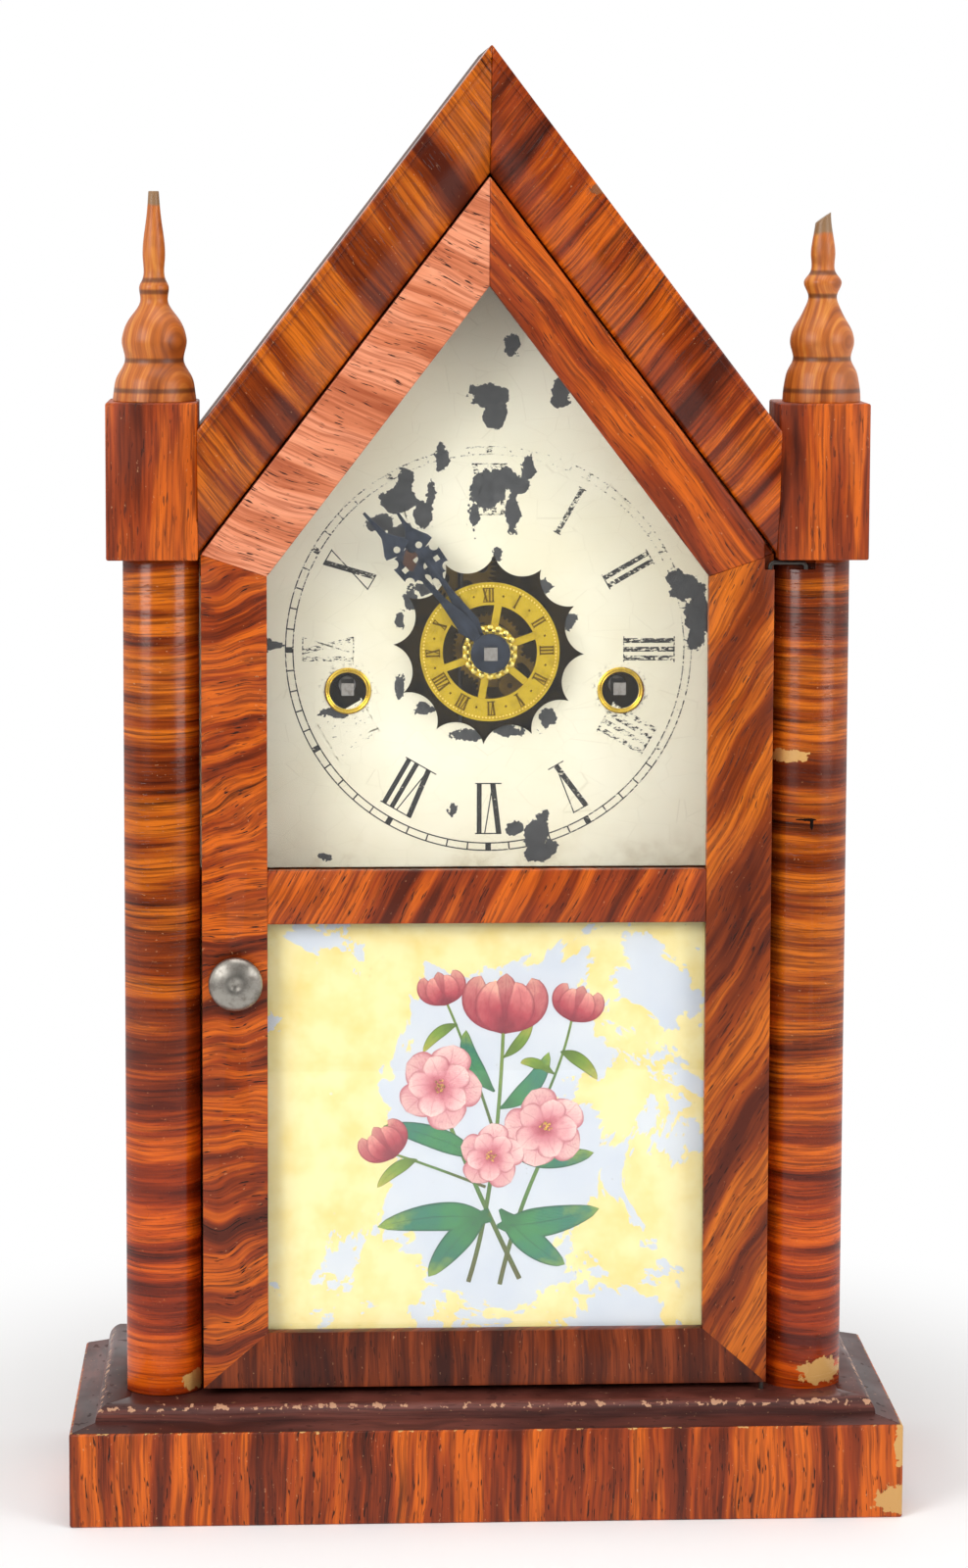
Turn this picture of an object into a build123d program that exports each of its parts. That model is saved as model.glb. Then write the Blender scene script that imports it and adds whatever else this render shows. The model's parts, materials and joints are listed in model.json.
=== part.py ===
from build123d import *
import os
from math import atan2, cos, degrees, dist, hypot, pi, radians, sin, sqrt, tan

# A steeple clock: a gabled wooden case with a glazed door, and an eight-day
# time, strike and alarm movement inside. Millimetres, front towards -Y, +Z up,
# origin at the middle of the base's underside.

# Base
base_half_width = 144.4
base_half_depth = 54.0
plinth_height = 33.1
plinth_board = 12.0
floor_thickness = 7.0
moulding_inset = 0.6
moulding_height = 6.9
ledge_depth = 8.0
ledge_rise = 1.2
cove_depth = 4.0

# Case
case_inset = 20.4
case_side_thickness = 9.0
case_front_y = -14.0
backboard_thickness = 6.0
roof_board_thickness = 8.0
gable_height = 174.8
roof_pitch = radians(52.6)

# Columns, corner blocks and turned finials
column_inset = 44.9
column_width = 26.1
column_height = 293.2
column_edge_y = -26.0
column_crest_y = -34.0
block_width = 31.2
block_height = 53.8
block_front_y = -38.0
block_back_y = -6.0

# Raking mouldings along the gable
rake_width = 26.0
rake_front_y = -44.0
rake_inner_y = -32.5
rake_lip = 2.6
rake_step = 1.0
rake_crown = 1.8
rake_crown_share = 0.45

# Door
door_side_gap = 0.9
door_foot_gap = 2.6
door_roof_gap = 0.8
door_front_y = -34.0
door_thickness = 14.0
stile_width = 22.5
bottom_rail_width = 19.6
middle_rail_drop = 92.3
middle_rail_width = 18.6
glass_lip = 4.5
glass_thickness = 2.0
rebate_width = 5.0
glass_play = 0.4

# Door hinge: a pin below and a bent wire above, on one upright axis
hinge_inset = 2.3
hinge_setback = 1.4
hinge_wire_radius = 0.8
hinge_wire_drop = 1.2
hinge_wire_span = 12.4
hinge_leg = 11.0
hinge_notch_drop = 2.4
hinge_corner_play = 2.0
cut_margin = 1.0
pin_play = 0.05
glue_play = 0.02
glue_line = 0.1
pin_in_base = 5.0

# Door knob and latch
knob_inset = 11.5
knob_drop = 20.2
# Radius and height above the door of each ring of the knob, crown to foot
knob_rings = [(0, 5.8), (1.6, 6.6), (3.2, 7.0), (7.8, 5.2), (9.4, 3.6), (9.4, 2.8), (6.4, 1.6), (6.0, 0)]
latch_shaft_radius = 1.6
latch_gap = 0.5
latch_thickness = 1.2
latch_width = 5.0
latch_reach = 16.5

# Dial
dial_x = 1.5
dial_drop = 34.2
dial_front_y = -6.0
dial_thickness = 0.8
dial_side_gap = 11.0
dial_tuck = 3.3
dial_apex_drop = 53.0
aperture_radius = 33.7
aperture_scallops = 12
scallop_depth = 6.1
aperture_turn = radians(-3)
winding_x = 48.0
winding_drop = 14.5
grommet_outer = 8.2
grommet_inner = 6.5
grommet_thickness = 0.7
dial_strip_width = 16.0
dial_strip_depth = 11.0
dial_strip_height = 112.0

# Hands and alarm disc
minute_hand_length = 66.0
hour_hand_length = 58.6
minute_hand_angle = 318.0
hour_hand_angle = 326.5
minute_hand_y = -18.6
hour_hand_y = -16.4
hand_thickness = 0.9
minute_head = 41.5
hour_head = 38.0
head_half = 5.4
# Distance along a hand, or past its cross head, and half its width there
hand_stem = [(0, 1.7), (7.5, 1.7), (12.3, 3.2), (16.5, 2.5), (25.5, 1.15)]
hand_waist = [(-1.2, 0.9), (0, 1.6)]
hand_spade = [(0, 1.3), (1.5, 5.2), (3.2, 4.7), (5.6, 3.0), (8.4, 1.3)]
hand_tip = [(-4.0, 0.7), (0, 0.5)]
notch_offset = 4.3
notch_radius = 1.75
window_offset = 2.6
window_size = 1.9
crescent_offset = 1.9
crescent_radius = 1.2
minute_collet_radius = 6.9
hour_collet_radius = 6.2
collet_rise = 0.6
cannon_square = 4.6
cannon_radius = 3.0
cannon_tail = 2.8
cannon_nose = 2.0
hour_pipe_radius = 4.4
hour_pipe_end = 0.2
hour_hub = 1.2
alarm_disc_y = -13.0
alarm_disc_radius = 24.4
alarm_ring_inner = 16.5
alarm_boss_radius = 9.5
alarm_boss_front = 1.4
alarm_boss_back = 4.0
alarm_disc_thickness = 1.2
alarm_rim = 0.8
alarm_rim_rise = 0.4
alarm_spokes = 6
alarm_spoke_width = 2.6
alarm_spoke_turn = 10.0

# Movement plates
plate_front_y = 12.0
plate_thickness = 1.6
plate_gap = 26.0
plate_half_width = 78.0
plate_below = 46.0
plate_above = 63.0
pillar_low_x = 73.0
pillar_low_drop = 40.0
pillar_high_x = 60.0
pillar_high_rise = 56.0
pillar_nose = 0.8
pillar_radius = 3.0
pillar_tenon = 1.8
pillar_foot = 4.0
plate_corner = 5.0
pivot_play = 0.05
end_shake = 0.3

# Arbors
centre_arbor_radius = 1.5
train_arbor_radius = 1.0
pivot_radius = 0.7
winding_arbor_radius = 3.0
winding_pivot_radius = 2.2
winding_square = 4.4
winding_tip_y = -2.2
square_back_y = 10.5
escape_arbor_radius = 0.9
minute_post_radius = 0.9
minute_tube_radius = 1.7
minute_tube_front = 1.9
minute_tube_back = 2.6
minute_post_front = 2.2
minute_hub = 1.0
centre_arbor_setback = 1.4
wheel_thickness = 1.2
great_thickness = 2.0
wheel_hub = 3.4
great_hub = 7.0
spoke_width = 2.6
collet_thickness = 0.9
collet_margin = 0.5
trundle_overhang = 0.7
rim_modules = 2.2
rim_thickness = 1.2
great_wheel_setback = 2.4
second_wheel_setback = 4.2
centre_wheel_setback = 10.6
third_wheel_setback = 17.6
spring_setback = 2.8
hour_wheel_setback = 2.6
minute_wheel_setback = 4.8

# Wheels and lantern pinions
great_teeth = 64
great_module = 0.8
second_leaves = 10
second_teeth = 60
second_module = 0.6
centre_leaves = 10
centre_teeth = 72
centre_module = 0.5
third_leaves = 8
third_teeth = 70
third_module = 0.5
escape_leaves = 7
escape_teeth = 44
escape_radius = 13.0
warning_leaves = 10
warning_teeth = 56
warning_module = 0.5
fly_leaves = 7
cannon_leaves = 12
cannon_module = 0.625
minute_wheel_teeth = 36
minute_wheel_leaves = 10
minute_wheel_direction = radians(-60)
strike_second_direction = radians(60)
warning_direction = radians(75)
fly_direction = radians(100)
hour_module = 0.6
hour_teeth = 40
tooth_root = 0.25
tooth_tip = 0.09
tooth_rise = 0.75
tooth_foot = 0.15
trundle_share = 0.18

# Mainspring and ratchet
spring_ribbon = 0.5
spring_turns = 7
spring_first = 3.55
spring_hook_gap = 0.3
spring_pitch = 2.0
spring_width = 12.7
ratchet_radius = 8.0
ratchet_teeth = 14
click_gap = 0.5
click_width = 2.4
ratchet_thickness = 1.6
ratchet_depth = 1.3
ratchet_gap = 0.3
ratchet_slope = 0.02
click_foot = 1.0

# Pendulum
pendulum_x = -8.0
pendulum_y = 6.0
pendulum_rise = 47.0
pendulum_length = 205.5
pendulum_rod = 0.7
bob_radius = 23.0
bob_half_depth = 4.5
bob_edge = 0.8
bob_flat = 3.0
bob_shoulder = (0.65, 0.7)
strip_thickness = 0.3
strip_width = 2.2
strip_length = 5.0
strip_top = 2.9
strip_tail = 1.5
stud_gap = 0.3
stud_half_width = 3.0
stud_reach = 2.5
stud_height = 8.0
rod_tail = 9.0
nut_radius = 3.2
nut_height = 2.4

# Escapement, in front of the front plate
escape_rise = 28.0
escape_y = 8.3
escape_thickness = 1.0
escape_tooth = 2.2
escape_boss = 0.2
escape_holes = 5
escape_hole_shift = 0.4
escape_hole_margin = 1.4
escape_slope = 0.03
escape_land = 1.2
pallet_angle = radians(40)
pallet_gap = 1.1
pallet_length = 1.3
pallet_rise = 0.8
verge_top_half = 2.0
verge_top_rise = 2.0
verge_foot_half = 1.4
verge_foot_drop = 1.8
verge_tube_back = 2.2
verge_post_front = 0.2
verge_tube_radius = 1.6
verge_post_radius = 0.8
crutch_y = 7.1
crutch_thickness = 0.6
crutch_rise = 19.0
crutch_half_width = 0.9
crutch_fork = 1.4
crutch_pin = 0.4
crutch_play = 0.25

# Strike
hammer_x = -62.0
hammer_rise = 17.0
hammer_boss = 2.2
hammer_wire = 0.6
hammer_head_radius = 5.0
hammer_head_length = 12.0
hammer_gap = 0.5
tail_y = 34.0
tail_thickness = 0.8
tail_width = 1.8
tail_gap = 0.9
lift_pins = 5
lift_pin_circle = 16.5
lift_pin_radius = 0.6
lift_pin_length = 1.4
fly_radius = 8.0
fly_half_thickness = 0.3
fly_front = 1.6
fly_back = 4.0
gong_rise = 72.0
gong_first = 16.0
gong_pitch = 5.4
gong_turns = 5
gong_wire = 1.2
gong_setback = 9.8
gong_clamp = 12.4
gong_clamp_edge = 1.4
gong_clamp_height = 6.0
gong_clamp_depth = 8.0
gong_foot_radius = 10.0
gong_foot_thickness = 5.0

# Alarm
alarm_x = 66.0
alarm_rise = 52.0
alarm_width = 34.0
alarm_height = 40.0
alarm_front_y = 20.0
bell_rise = 60.0
alarm_plate_gap = 14.6
alarm_post_radius = 1.8
alarm_barrel_radius = 10.0
alarm_hammer_left = 6.0
alarm_hammer_rise = 12.0
alarm_hammer_head = 3.4
alarm_hammer_boss = 2.0
alarm_hammer_boss_half = 1.5
alarm_hammer_setback = 2.0
alarm_post_inset = 3.0
alarm_barrel_right = 3.0
alarm_barrel_drop = 4.0
alarm_barrel_play = 2.0
alarm_arbor_radius = 1.8
alarm_arbor_front = 6.0
alarm_hammer_gap = 0.7
bell_radius = 20.0
bell_front_y = 28.0
bell_depth = 12.0
bell_wall = 1.2
bell_post_radius = 2.0
bell_cap_height = 1.6
bell_cap = 1.8
bell_shoulder = (0.87, 0.26)
bell_inner_shoulder = (0.86, 0.26)

# Places worked out from the sizes above
base_top = plinth_height + moulding_height
case_half_width = base_half_width - case_inset
case_back_y = base_half_depth - backboard_thickness
case_inner_x = case_half_width - case_side_thickness
column_inner_x = base_half_width - column_inset
column_outer_x = column_inner_x + column_width
column_top = base_top + column_height
roof_apex_z = column_top + gable_height
block_top = column_top + block_height
block_x = column_inner_x + block_width / 2
block_y = (block_front_y + block_back_y) / 2
rise = tan(roof_pitch)
slant = 1 / cos(roof_pitch)
door_half_width = column_inner_x - door_side_gap
door_bottom = base_top + door_foot_gap
door_back_y = door_front_y + door_thickness
door_apex = roof_apex_z - (rake_width + door_roof_gap) * slant
door_shoulder = door_apex - door_half_width * rise
sight_half_width = door_half_width - stile_width
sight_apex = door_apex - stile_width * slant
sight_shoulder = sight_apex - sight_half_width * rise
tablet_bottom = door_bottom + bottom_rail_width
dial_z = column_top - dial_drop
middle_rail_bottom = dial_z - middle_rail_drop
middle_rail_top = middle_rail_bottom + middle_rail_width
glass_front_y = door_front_y + glass_lip
hinge_x = column_inner_x - hinge_inset
hinge_y = door_front_y + hinge_setback
hinge_wire_z = column_top - hinge_wire_drop
hinge_wire_end_x = hinge_x + hinge_wire_span
knob_x = knob_inset - door_half_width
knob_z = middle_rail_bottom - knob_drop
dial_half_width = case_inner_x - dial_side_gap
dial_bottom = middle_rail_top - dial_tuck
dial_apex_z = roof_apex_z - dial_apex_drop
winding_z = dial_z - winding_drop
dial_back_y = dial_front_y + dial_thickness
plate_back_y = plate_front_y + plate_thickness
rear_plate_y = plate_back_y + plate_gap
rear_plate_back_y = rear_plate_y + plate_thickness
plate_bottom = dial_z - plate_below
plate_top = dial_z + plate_above
pillar_low = (pillar_low_x, dial_z - pillar_low_drop)
pillar_high = (pillar_high_x, dial_z + pillar_high_rise)
pendulum_top = dial_z + pendulum_rise
escape_z = dial_z + escape_rise
crutch_z = dial_z + crutch_rise
hammer_z = dial_z + hammer_rise
gong_z = base_top + gong_rise
gong_y = case_back_y - gong_setback
alarm_z = base_top + alarm_rise
bell_z = alarm_z + bell_rise
alarm_hammer_at = (alarm_x - alarm_hammer_left, alarm_z + alarm_hammer_rise)

os.makedirs("parts", exist_ok=True)


def save(piece, name):
    """Name a finished piece and write its file."""
    piece.part.label = name
    export_step(piece.part, f"parts/{name}.step")


# Small drawing helpers


def front(x, z, y):
    """A plane facing the viewer, with its origin at (x, y, z)."""
    return Plane(origin=(x, y, z), x_dir=(1, 0, 0), z_dir=(0, -1, 0))


def disc(x, z, y_front, y_back, radius, mode=Mode.ADD):
    """A round slice between two depths."""
    with BuildSketch(front(x, z, y_back)) as s:
        Circle(radius)
    extrude(s.sketch, amount=y_back - y_front, mode=mode)


def slab(points, y_front, y_back, mode=Mode.ADD):
    """A flat board with this outline, seen from the front, between two depths."""
    with BuildSketch(front(0, 0, y_back)) as s:
        with BuildLine():
            Polyline(*points, close=True)
        make_face()
    extrude(s.sketch, amount=y_back - y_front, mode=mode)


def brick(x, y, z, mode=Mode.ADD):
    """A box between the low and high value on each axis."""
    with Locations((sum(x) / 2, sum(y) / 2, sum(z) / 2)):
        Box(x[1] - x[0], y[1] - y[0], z[1] - z[0], mode=mode)


def house(half_width, bottom, apex):
    """The outline of a gabled shape as steep as the roof."""
    shoulder = apex - half_width * rise
    return [
        (-half_width, bottom),
        (half_width, bottom),
        (half_width, shoulder),
        (0, apex),
        (-half_width, shoulder),
    ]


def rectangle(half_width, bottom, top):
    """The outline of a rectangle centred on the clock."""
    return [(-half_width, bottom), (half_width, bottom), (half_width, top), (-half_width, top)]


def flip(points, side):
    """The same outline on the right (side 1) or the left (side -1)."""
    return [(side * x, z) for x, z in points]


def polar(centre, radius, angle):
    """The point at this radius and angle from a centre."""
    return (centre[0] + radius * cos(angle), centre[1] + radius * sin(angle))


def heading(start, end):
    """The direction from one point to another."""
    return atan2(end[1] - start[1], end[0] - start[0])


def meet(start, reach, end, end_reach, side):
    """The point at given distances from two others, on one side of their line."""
    span = dist(start, end)
    along = (reach**2 - end_reach**2 + span**2) / (2 * span)
    across = sqrt(reach**2 - along**2)
    angle = heading(start, end)
    foot = polar(start, along, angle)
    return polar(foot, side * across, angle + pi / 2)


# Base and case


def mitre_corner(side):
    """The plan of what lies beyond the front moulding's mitred end."""
    outer = base_half_width + ledge_depth
    reach = outer - case_half_width
    inner_y = -base_half_depth + base_half_width - case_half_width
    return [
        (side * case_half_width, inner_y),
        (side * outer, inner_y - reach),
        (side * (outer + reach), inner_y - reach),
        (side * (outer + reach), case_front_y + reach),
        (side * case_half_width, case_front_y + reach),
    ]


def moulding_section(depth):
    """The base moulding's section: a sloping ledge, a cove and a flat top."""
    ledge = moulding_inset + ledge_depth
    cove = ledge + cove_depth
    with BuildSketch() as s:
        with BuildLine():
            Polyline((ledge, ledge_rise), (moulding_inset, 0), (depth, 0), (depth, moulding_height),
                     (cove, moulding_height))
            RadiusArc((cove, moulding_height), (ledge, ledge_rise), -(moulding_height + cove_depth) / 2)
        make_face()
    return s.sketch


with BuildPart() as plinth_front:
    brick((-base_half_width, base_half_width), (-base_half_depth, plinth_board - base_half_depth),
          (0, plinth_height))
save(plinth_front, "plinth_front")

with BuildPart() as plinth_sides:
    for side in (1, -1):
        brick(sorted((side * base_half_width, side * (base_half_width - plinth_board))),
              (plinth_board - base_half_depth, base_half_depth), (0, plinth_height))
save(plinth_sides, "plinth_sides")

with BuildPart() as case_floor:
    brick((plinth_board - base_half_width, base_half_width - plinth_board),
          (plinth_board - base_half_depth, base_half_depth),
          (plinth_height - floor_thickness, plinth_height))
save(case_floor, "case_floor")

front_section = moulding_section(base_half_depth + case_front_y)
with BuildPart() as base_moulding_front:
    rail_plane = Plane(origin=(-base_half_width, -base_half_depth, plinth_height),
                       x_dir=(0, 1, 0), z_dir=(1, 0, 0))
    extrude(rail_plane * front_section, amount=2 * base_half_width)
    for side in (1, -1):
        with BuildSketch(Plane.XY.offset(plinth_height)) as corner:
            with BuildLine():
                Polyline(*mitre_corner(side), close=True)
            make_face()
        extrude(corner.sketch, amount=moulding_height, mode=Mode.SUBTRACT)
    with Locations((hinge_x, hinge_y, base_top)):
        Hole(hinge_wire_radius + glue_play, depth=pin_in_base)
save(base_moulding_front, "base_moulding_front")

side_section = moulding_section(base_half_width - case_half_width)
with BuildPart() as base_moulding_sides:
    for side in (1, -1):
        end_plane = Plane(origin=(side * base_half_width, base_half_depth, plinth_height),
                          x_dir=(-side, 0, 0), z_dir=(0, side, 0))
        length = 2 * base_half_depth
        extrude(end_plane * side_section, amount=-side * length)
        with BuildSketch(Plane.XY.offset(plinth_height)) as corner:
            mitre_y = -base_half_depth + base_half_width - case_half_width
            reach = base_half_width + ledge_depth - case_half_width
            with BuildLine():
                Polyline((side * case_half_width, mitre_y),
                         (side * (case_half_width + reach), mitre_y - reach),
                         (side * (case_half_width - reach), mitre_y - reach),
                         (side * (case_half_width - reach), mitre_y), close=True)
            make_face()
        extrude(corner.sketch, amount=moulding_height, mode=Mode.SUBTRACT)
save(base_moulding_sides, "base_moulding_sides")

roof_soffit = roof_apex_z - roof_board_thickness * slant


def cut_block_seat(side):
    """Cut away the place of the corner block."""
    brick(sorted((side * column_inner_x, side * (column_inner_x + block_width))),
          (block_front_y, block_back_y), (column_top, block_top), mode=Mode.SUBTRACT)


with BuildPart() as case_sides:
    for side in (1, -1):
        outline = [
            (case_inner_x, plinth_height),
            (case_half_width, plinth_height),
            (case_half_width, roof_soffit - case_half_width * rise),
            (case_inner_x, roof_soffit - case_inner_x * rise),
        ]
        slab(flip(outline, side), case_front_y, case_back_y)
        cut_block_seat(side)
save(case_sides, "case_sides")

with BuildPart() as backboard:
    slab(house(case_half_width, plinth_height, roof_apex_z), case_back_y, base_half_depth)
save(backboard, "backboard")


def roof_outline(side):
    """The end of one sloping roof board, stopping just short of the other at the ridge."""
    ridge = glue_line / 2
    return flip([
        (ridge, roof_apex_z - ridge * rise),
        (case_half_width, roof_apex_z - case_half_width * rise),
        (case_half_width, roof_soffit - case_half_width * rise),
        (ridge, roof_soffit - ridge * rise),
    ], side)


with BuildPart() as roof_boards:
    for side in (1, -1):
        slab(roof_outline(side), case_front_y, case_back_y)
        cut_block_seat(side)
save(roof_boards, "roof_boards")


def column(side):
    """A half-round column, veneered across, glued to the case's front edge."""
    x_inner = side * column_inner_x
    x_outer = side * column_outer_x
    with BuildPart() as shaft:
        with BuildSketch(Plane.XY.offset(base_top)):
            with BuildLine():
                Polyline((x_inner, column_edge_y), (x_inner, case_front_y), (x_outer, case_front_y),
                         (x_outer, column_edge_y))
                ThreePointArc((x_outer, column_edge_y), ((x_inner + x_outer) / 2, column_crest_y),
                              (x_inner, column_edge_y))
            make_face()
        extrude(amount=column_height)
    return shaft


notch_back_y = hinge_y + 2 * hinge_wire_radius
notch_width = hinge_wire_end_x + 4 * hinge_wire_radius - column_inner_x

column_left = column(-1)
save(column_left, "column_left")

column_right = column(1)
with column_right:
    brick((column_inner_x - cut_margin, column_inner_x + notch_width),
          (column_crest_y - cut_margin, notch_back_y),
          (hinge_wire_z - hinge_notch_drop, column_top + cut_margin), mode=Mode.SUBTRACT)
    with Locations((hinge_wire_end_x, hinge_y, hinge_wire_z)):
        Hole(hinge_wire_radius + glue_play, depth=hinge_leg)
save(column_right, "column_right")

for side, hand in ((-1, "left"), (1, "right")):
    with BuildPart() as block:
        brick(sorted((side * column_inner_x, side * (column_inner_x + block_width))),
              (block_front_y, block_back_y), (column_top, block_top))
    save(block, f"block_{hand}")


def finial(side, centre_offset, rings):
    """A turned finial from its radii, each at a height above the block."""
    lowest = rings[0]
    highest = rings[-1]
    with BuildPart() as turned:
        turning = Plane(origin=(side * block_x + centre_offset, block_y, block_top),
                        x_dir=(1, 0, 0), z_dir=(0, -1, 0))
        with BuildSketch(turning):
            with BuildLine():
                Spline(*rings)
                Polyline(highest, (0, highest[1]), (0, lowest[1]), lowest)
            make_face()
        revolve(axis=Axis((side * block_x + centre_offset, block_y, 0), (0, 0, 1)))
    return turned


# Radius and height of each ring of the turning, foot to broken tip
left_rings = [(14.4, 0), (13.95, 3.4), (13.0, 8.0), (10.1, 13.9), (11.15, 20.3), (10.9, 22.4),
              (9.1, 27.2), (6.4, 30.9), (4.75, 34.2), (5.0, 37.3), (5.0, 39.3), (4.1, 41.3),
              (3.8, 48.5), (2.55, 62.6), (1.8, 71.6)]
right_rings = [(13.5, 0), (13.25, 4.2), (12.8, 7.1), (11.8, 10.9), (10.0, 14.9), (10.95, 19.4),
               (9.8, 25.6), (7.85, 28.9), (5.8, 33.1), (4.95, 36.5), (6.5, 41.4), (4.5, 44.5),
               (4.2, 50.2), (3.6, 56.3), (3.0, 59.9), (2.6, 66.0)]

finial_shift = 0.6
snap_height = 63.0
snap_slope = 0.7

finial_left = finial(-1, finial_shift, left_rings)
save(finial_left, "finial_left")

finial_right = finial(1, finial_shift, right_rings)
with finial_right:
    # The tip is snapped off on a slant
    snap = Plane(origin=(block_x, block_y, block_top + snap_height), x_dir=(1, 0, snap_slope),
                 z_dir=(-snap_slope, 0, 1))
    split(bisect_by=snap, keep=Keep.BOTTOM)
save(finial_right, "finial_right")


def raking_moulding(side):
    """The moulding down one slope, mitred at the apex, dying into its block."""
    slope = Plane(origin=(0, 0, roof_apex_z), x_dir=(-side * sin(roof_pitch), 0, -cos(roof_pitch)),
                  z_dir=(side * cos(roof_pitch), 0, -sin(roof_pitch)))
    depth = side
    crown = (rake_lip + (rake_width - rake_lip) * rake_crown_share, rake_front_y + rake_step + rake_crown)
    with BuildPart() as strip:
        with BuildSketch(slope.offset(-2 * rake_width)) as section:
            with BuildLine():
                Polyline((rake_width, depth * rake_inner_y), (rake_width, depth * case_front_y),
                         (0, depth * case_front_y), (0, depth * rake_front_y),
                         (rake_lip, depth * rake_front_y),
                         (rake_lip, depth * (rake_front_y + rake_step)))
                ThreePointArc((rake_lip, depth * (rake_front_y + rake_step)),
                              (crown[0], depth * crown[1]), (rake_width, depth * rake_inner_y))
            make_face()
        extrude(section.sketch, amount=column_inner_x * slant + 4 * rake_width)
        split(bisect_by=Plane.YZ, keep=Keep.TOP if side > 0 else Keep.BOTTOM)
        split(bisect_by=Plane.YZ.offset(side * column_inner_x),
              keep=Keep.BOTTOM if side > 0 else Keep.TOP)
    return strip


for side, hand in ((-1, "left"), (1, "right")):
    save(raking_moulding(side), f"roof_moulding_{hand}")

# Door

dial_rebate = house(sight_half_width + rebate_width, middle_rail_top - rebate_width,
                    sight_apex + rebate_width * slant)
tablet_rebate = rectangle(sight_half_width + rebate_width, tablet_bottom - rebate_width,
                          middle_rail_bottom + rebate_width)


def door_rail(outline):
    """A door member with this outline, rebated behind for both glasses."""
    with BuildPart() as rail:
        slab(outline, door_front_y, door_back_y)
        slab(dial_rebate, glass_front_y, door_back_y, mode=Mode.SUBTRACT)
        slab(tablet_rebate, glass_front_y, door_back_y, mode=Mode.SUBTRACT)
    return rail


stile_outline = [
    (door_half_width, door_bottom),
    (door_half_width, door_shoulder),
    (sight_half_width, sight_shoulder),
    (sight_half_width, tablet_bottom),
]
rake_outline = [
    (0, door_apex),
    (door_half_width, door_shoulder),
    (sight_half_width, sight_shoulder),
    (0, sight_apex),
]
latch_plane = front(knob_x, knob_z, door_front_y)

door_stile_left = door_rail(flip(stile_outline, -1))
with door_stile_left:
    with Locations(latch_plane):
        Hole(latch_shaft_radius + pin_play, depth=door_thickness)
save(door_stile_left, "door_stile_left")

door_stile_right = door_rail(stile_outline)
with door_stile_right:
    corner_notch = ((hinge_x - hinge_corner_play, door_half_width + cut_margin),
                    (door_front_y - cut_margin, hinge_y + 2 * hinge_wire_radius),
                    (hinge_wire_z - hinge_notch_drop, door_shoulder + 2 * stile_width))
    brick(*corner_notch, mode=Mode.SUBTRACT)
    with Locations((hinge_x, hinge_y, hinge_wire_z - hinge_notch_drop)):
        Hole(hinge_wire_radius + pin_play, depth=hinge_leg + cut_margin)
    with Locations(Plane(origin=(hinge_x, hinge_y, door_bottom), z_dir=(0, 0, -1))):
        Hole(hinge_wire_radius + pin_play, depth=hinge_leg + cut_margin)
save(door_stile_right, "door_stile_right")

bottom_outline = [
    (-door_half_width, door_bottom),
    (door_half_width, door_bottom),
    (sight_half_width, tablet_bottom),
    (-sight_half_width, tablet_bottom),
]
hinge_hole_plane = Plane(origin=(hinge_x, hinge_y, door_bottom), z_dir=(0, 0, -1))

door_bottom_rail = door_rail(bottom_outline)
with door_bottom_rail:
    with Locations(hinge_hole_plane):
        Hole(hinge_wire_radius + pin_play, depth=hinge_leg + cut_margin)
save(door_bottom_rail, "door_bottom_rail")

save(door_rail(rectangle(sight_half_width, middle_rail_bottom, middle_rail_top)), "door_middle_rail")
door_rake_left = door_rail(flip(rake_outline, -1))
save(door_rake_left, "door_rake_left")

door_rake_right = door_rail(rake_outline)
with door_rake_right:
    brick(*corner_notch, mode=Mode.SUBTRACT)
save(door_rake_right, "door_rake_right")

glass_edge = rebate_width - glass_play
with BuildPart() as dial_glass:
    slab(house(sight_half_width + glass_edge, middle_rail_top - glass_edge,
               sight_apex + glass_edge * slant), glass_front_y, glass_front_y + glass_thickness)
save(dial_glass, "dial_glass")

with BuildPart() as tablet_glass:
    slab(rectangle(sight_half_width + glass_edge, tablet_bottom - glass_edge,
                   middle_rail_bottom + glass_edge), glass_front_y, glass_front_y + glass_thickness)
save(tablet_glass, "tablet_glass")

# The tongue turns just behind the column's back
tongue_front_y = case_front_y + latch_gap
tongue_back_y = tongue_front_y + latch_thickness
with BuildPart() as door_knob:
    with BuildSketch(Plane(origin=(knob_x, door_front_y, knob_z), x_dir=(1, 0, 0), z_dir=(0, 0, 1))):
        with BuildLine():
            Polyline((0, 0), *[(radius, -height) for radius, height in knob_rings], close=True)
        make_face()
    revolve(axis=Axis((knob_x, 0, knob_z), (0, 1, 0)))
    disc(knob_x, knob_z, door_front_y, tongue_back_y, latch_shaft_radius)
save(door_knob, "door_knob")

with BuildPart() as latch_tongue:
    with BuildSketch(front(knob_x, knob_z, tongue_back_y)) as tongue:
        with Locations((0, -latch_reach / 2)):
            SlotOverall(latch_reach + latch_width, latch_width, rotation=90)
        Circle(latch_shaft_radius + glue_play, mode=Mode.SUBTRACT)
    extrude(tongue.sketch, amount=latch_thickness)
save(latch_tongue, "latch_tongue")

with BuildPart() as hinge_wires:
    with BuildLine() as bent:
        FilletPolyline((hinge_x, hinge_y, hinge_wire_z - hinge_leg),
                       (hinge_x, hinge_y, hinge_wire_z),
                       (hinge_wire_end_x, hinge_y, hinge_wire_z),
                       (hinge_wire_end_x, hinge_y, hinge_wire_z - hinge_leg + cut_margin),
                       radius=2 * hinge_wire_radius)
    with BuildSketch(Plane(origin=bent.line @ 0, z_dir=bent.line % 0)):
        Circle(hinge_wire_radius)
    sweep(path=bent.line)
    with Locations((hinge_x, hinge_y, base_top - pin_in_base)):
        Cylinder(hinge_wire_radius, pin_in_base + door_foot_gap + hinge_leg,
                 align=(Align.CENTER, Align.CENTER, Align.MIN))
save(hinge_wires, "hinge_wires")

# Dial

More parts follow.
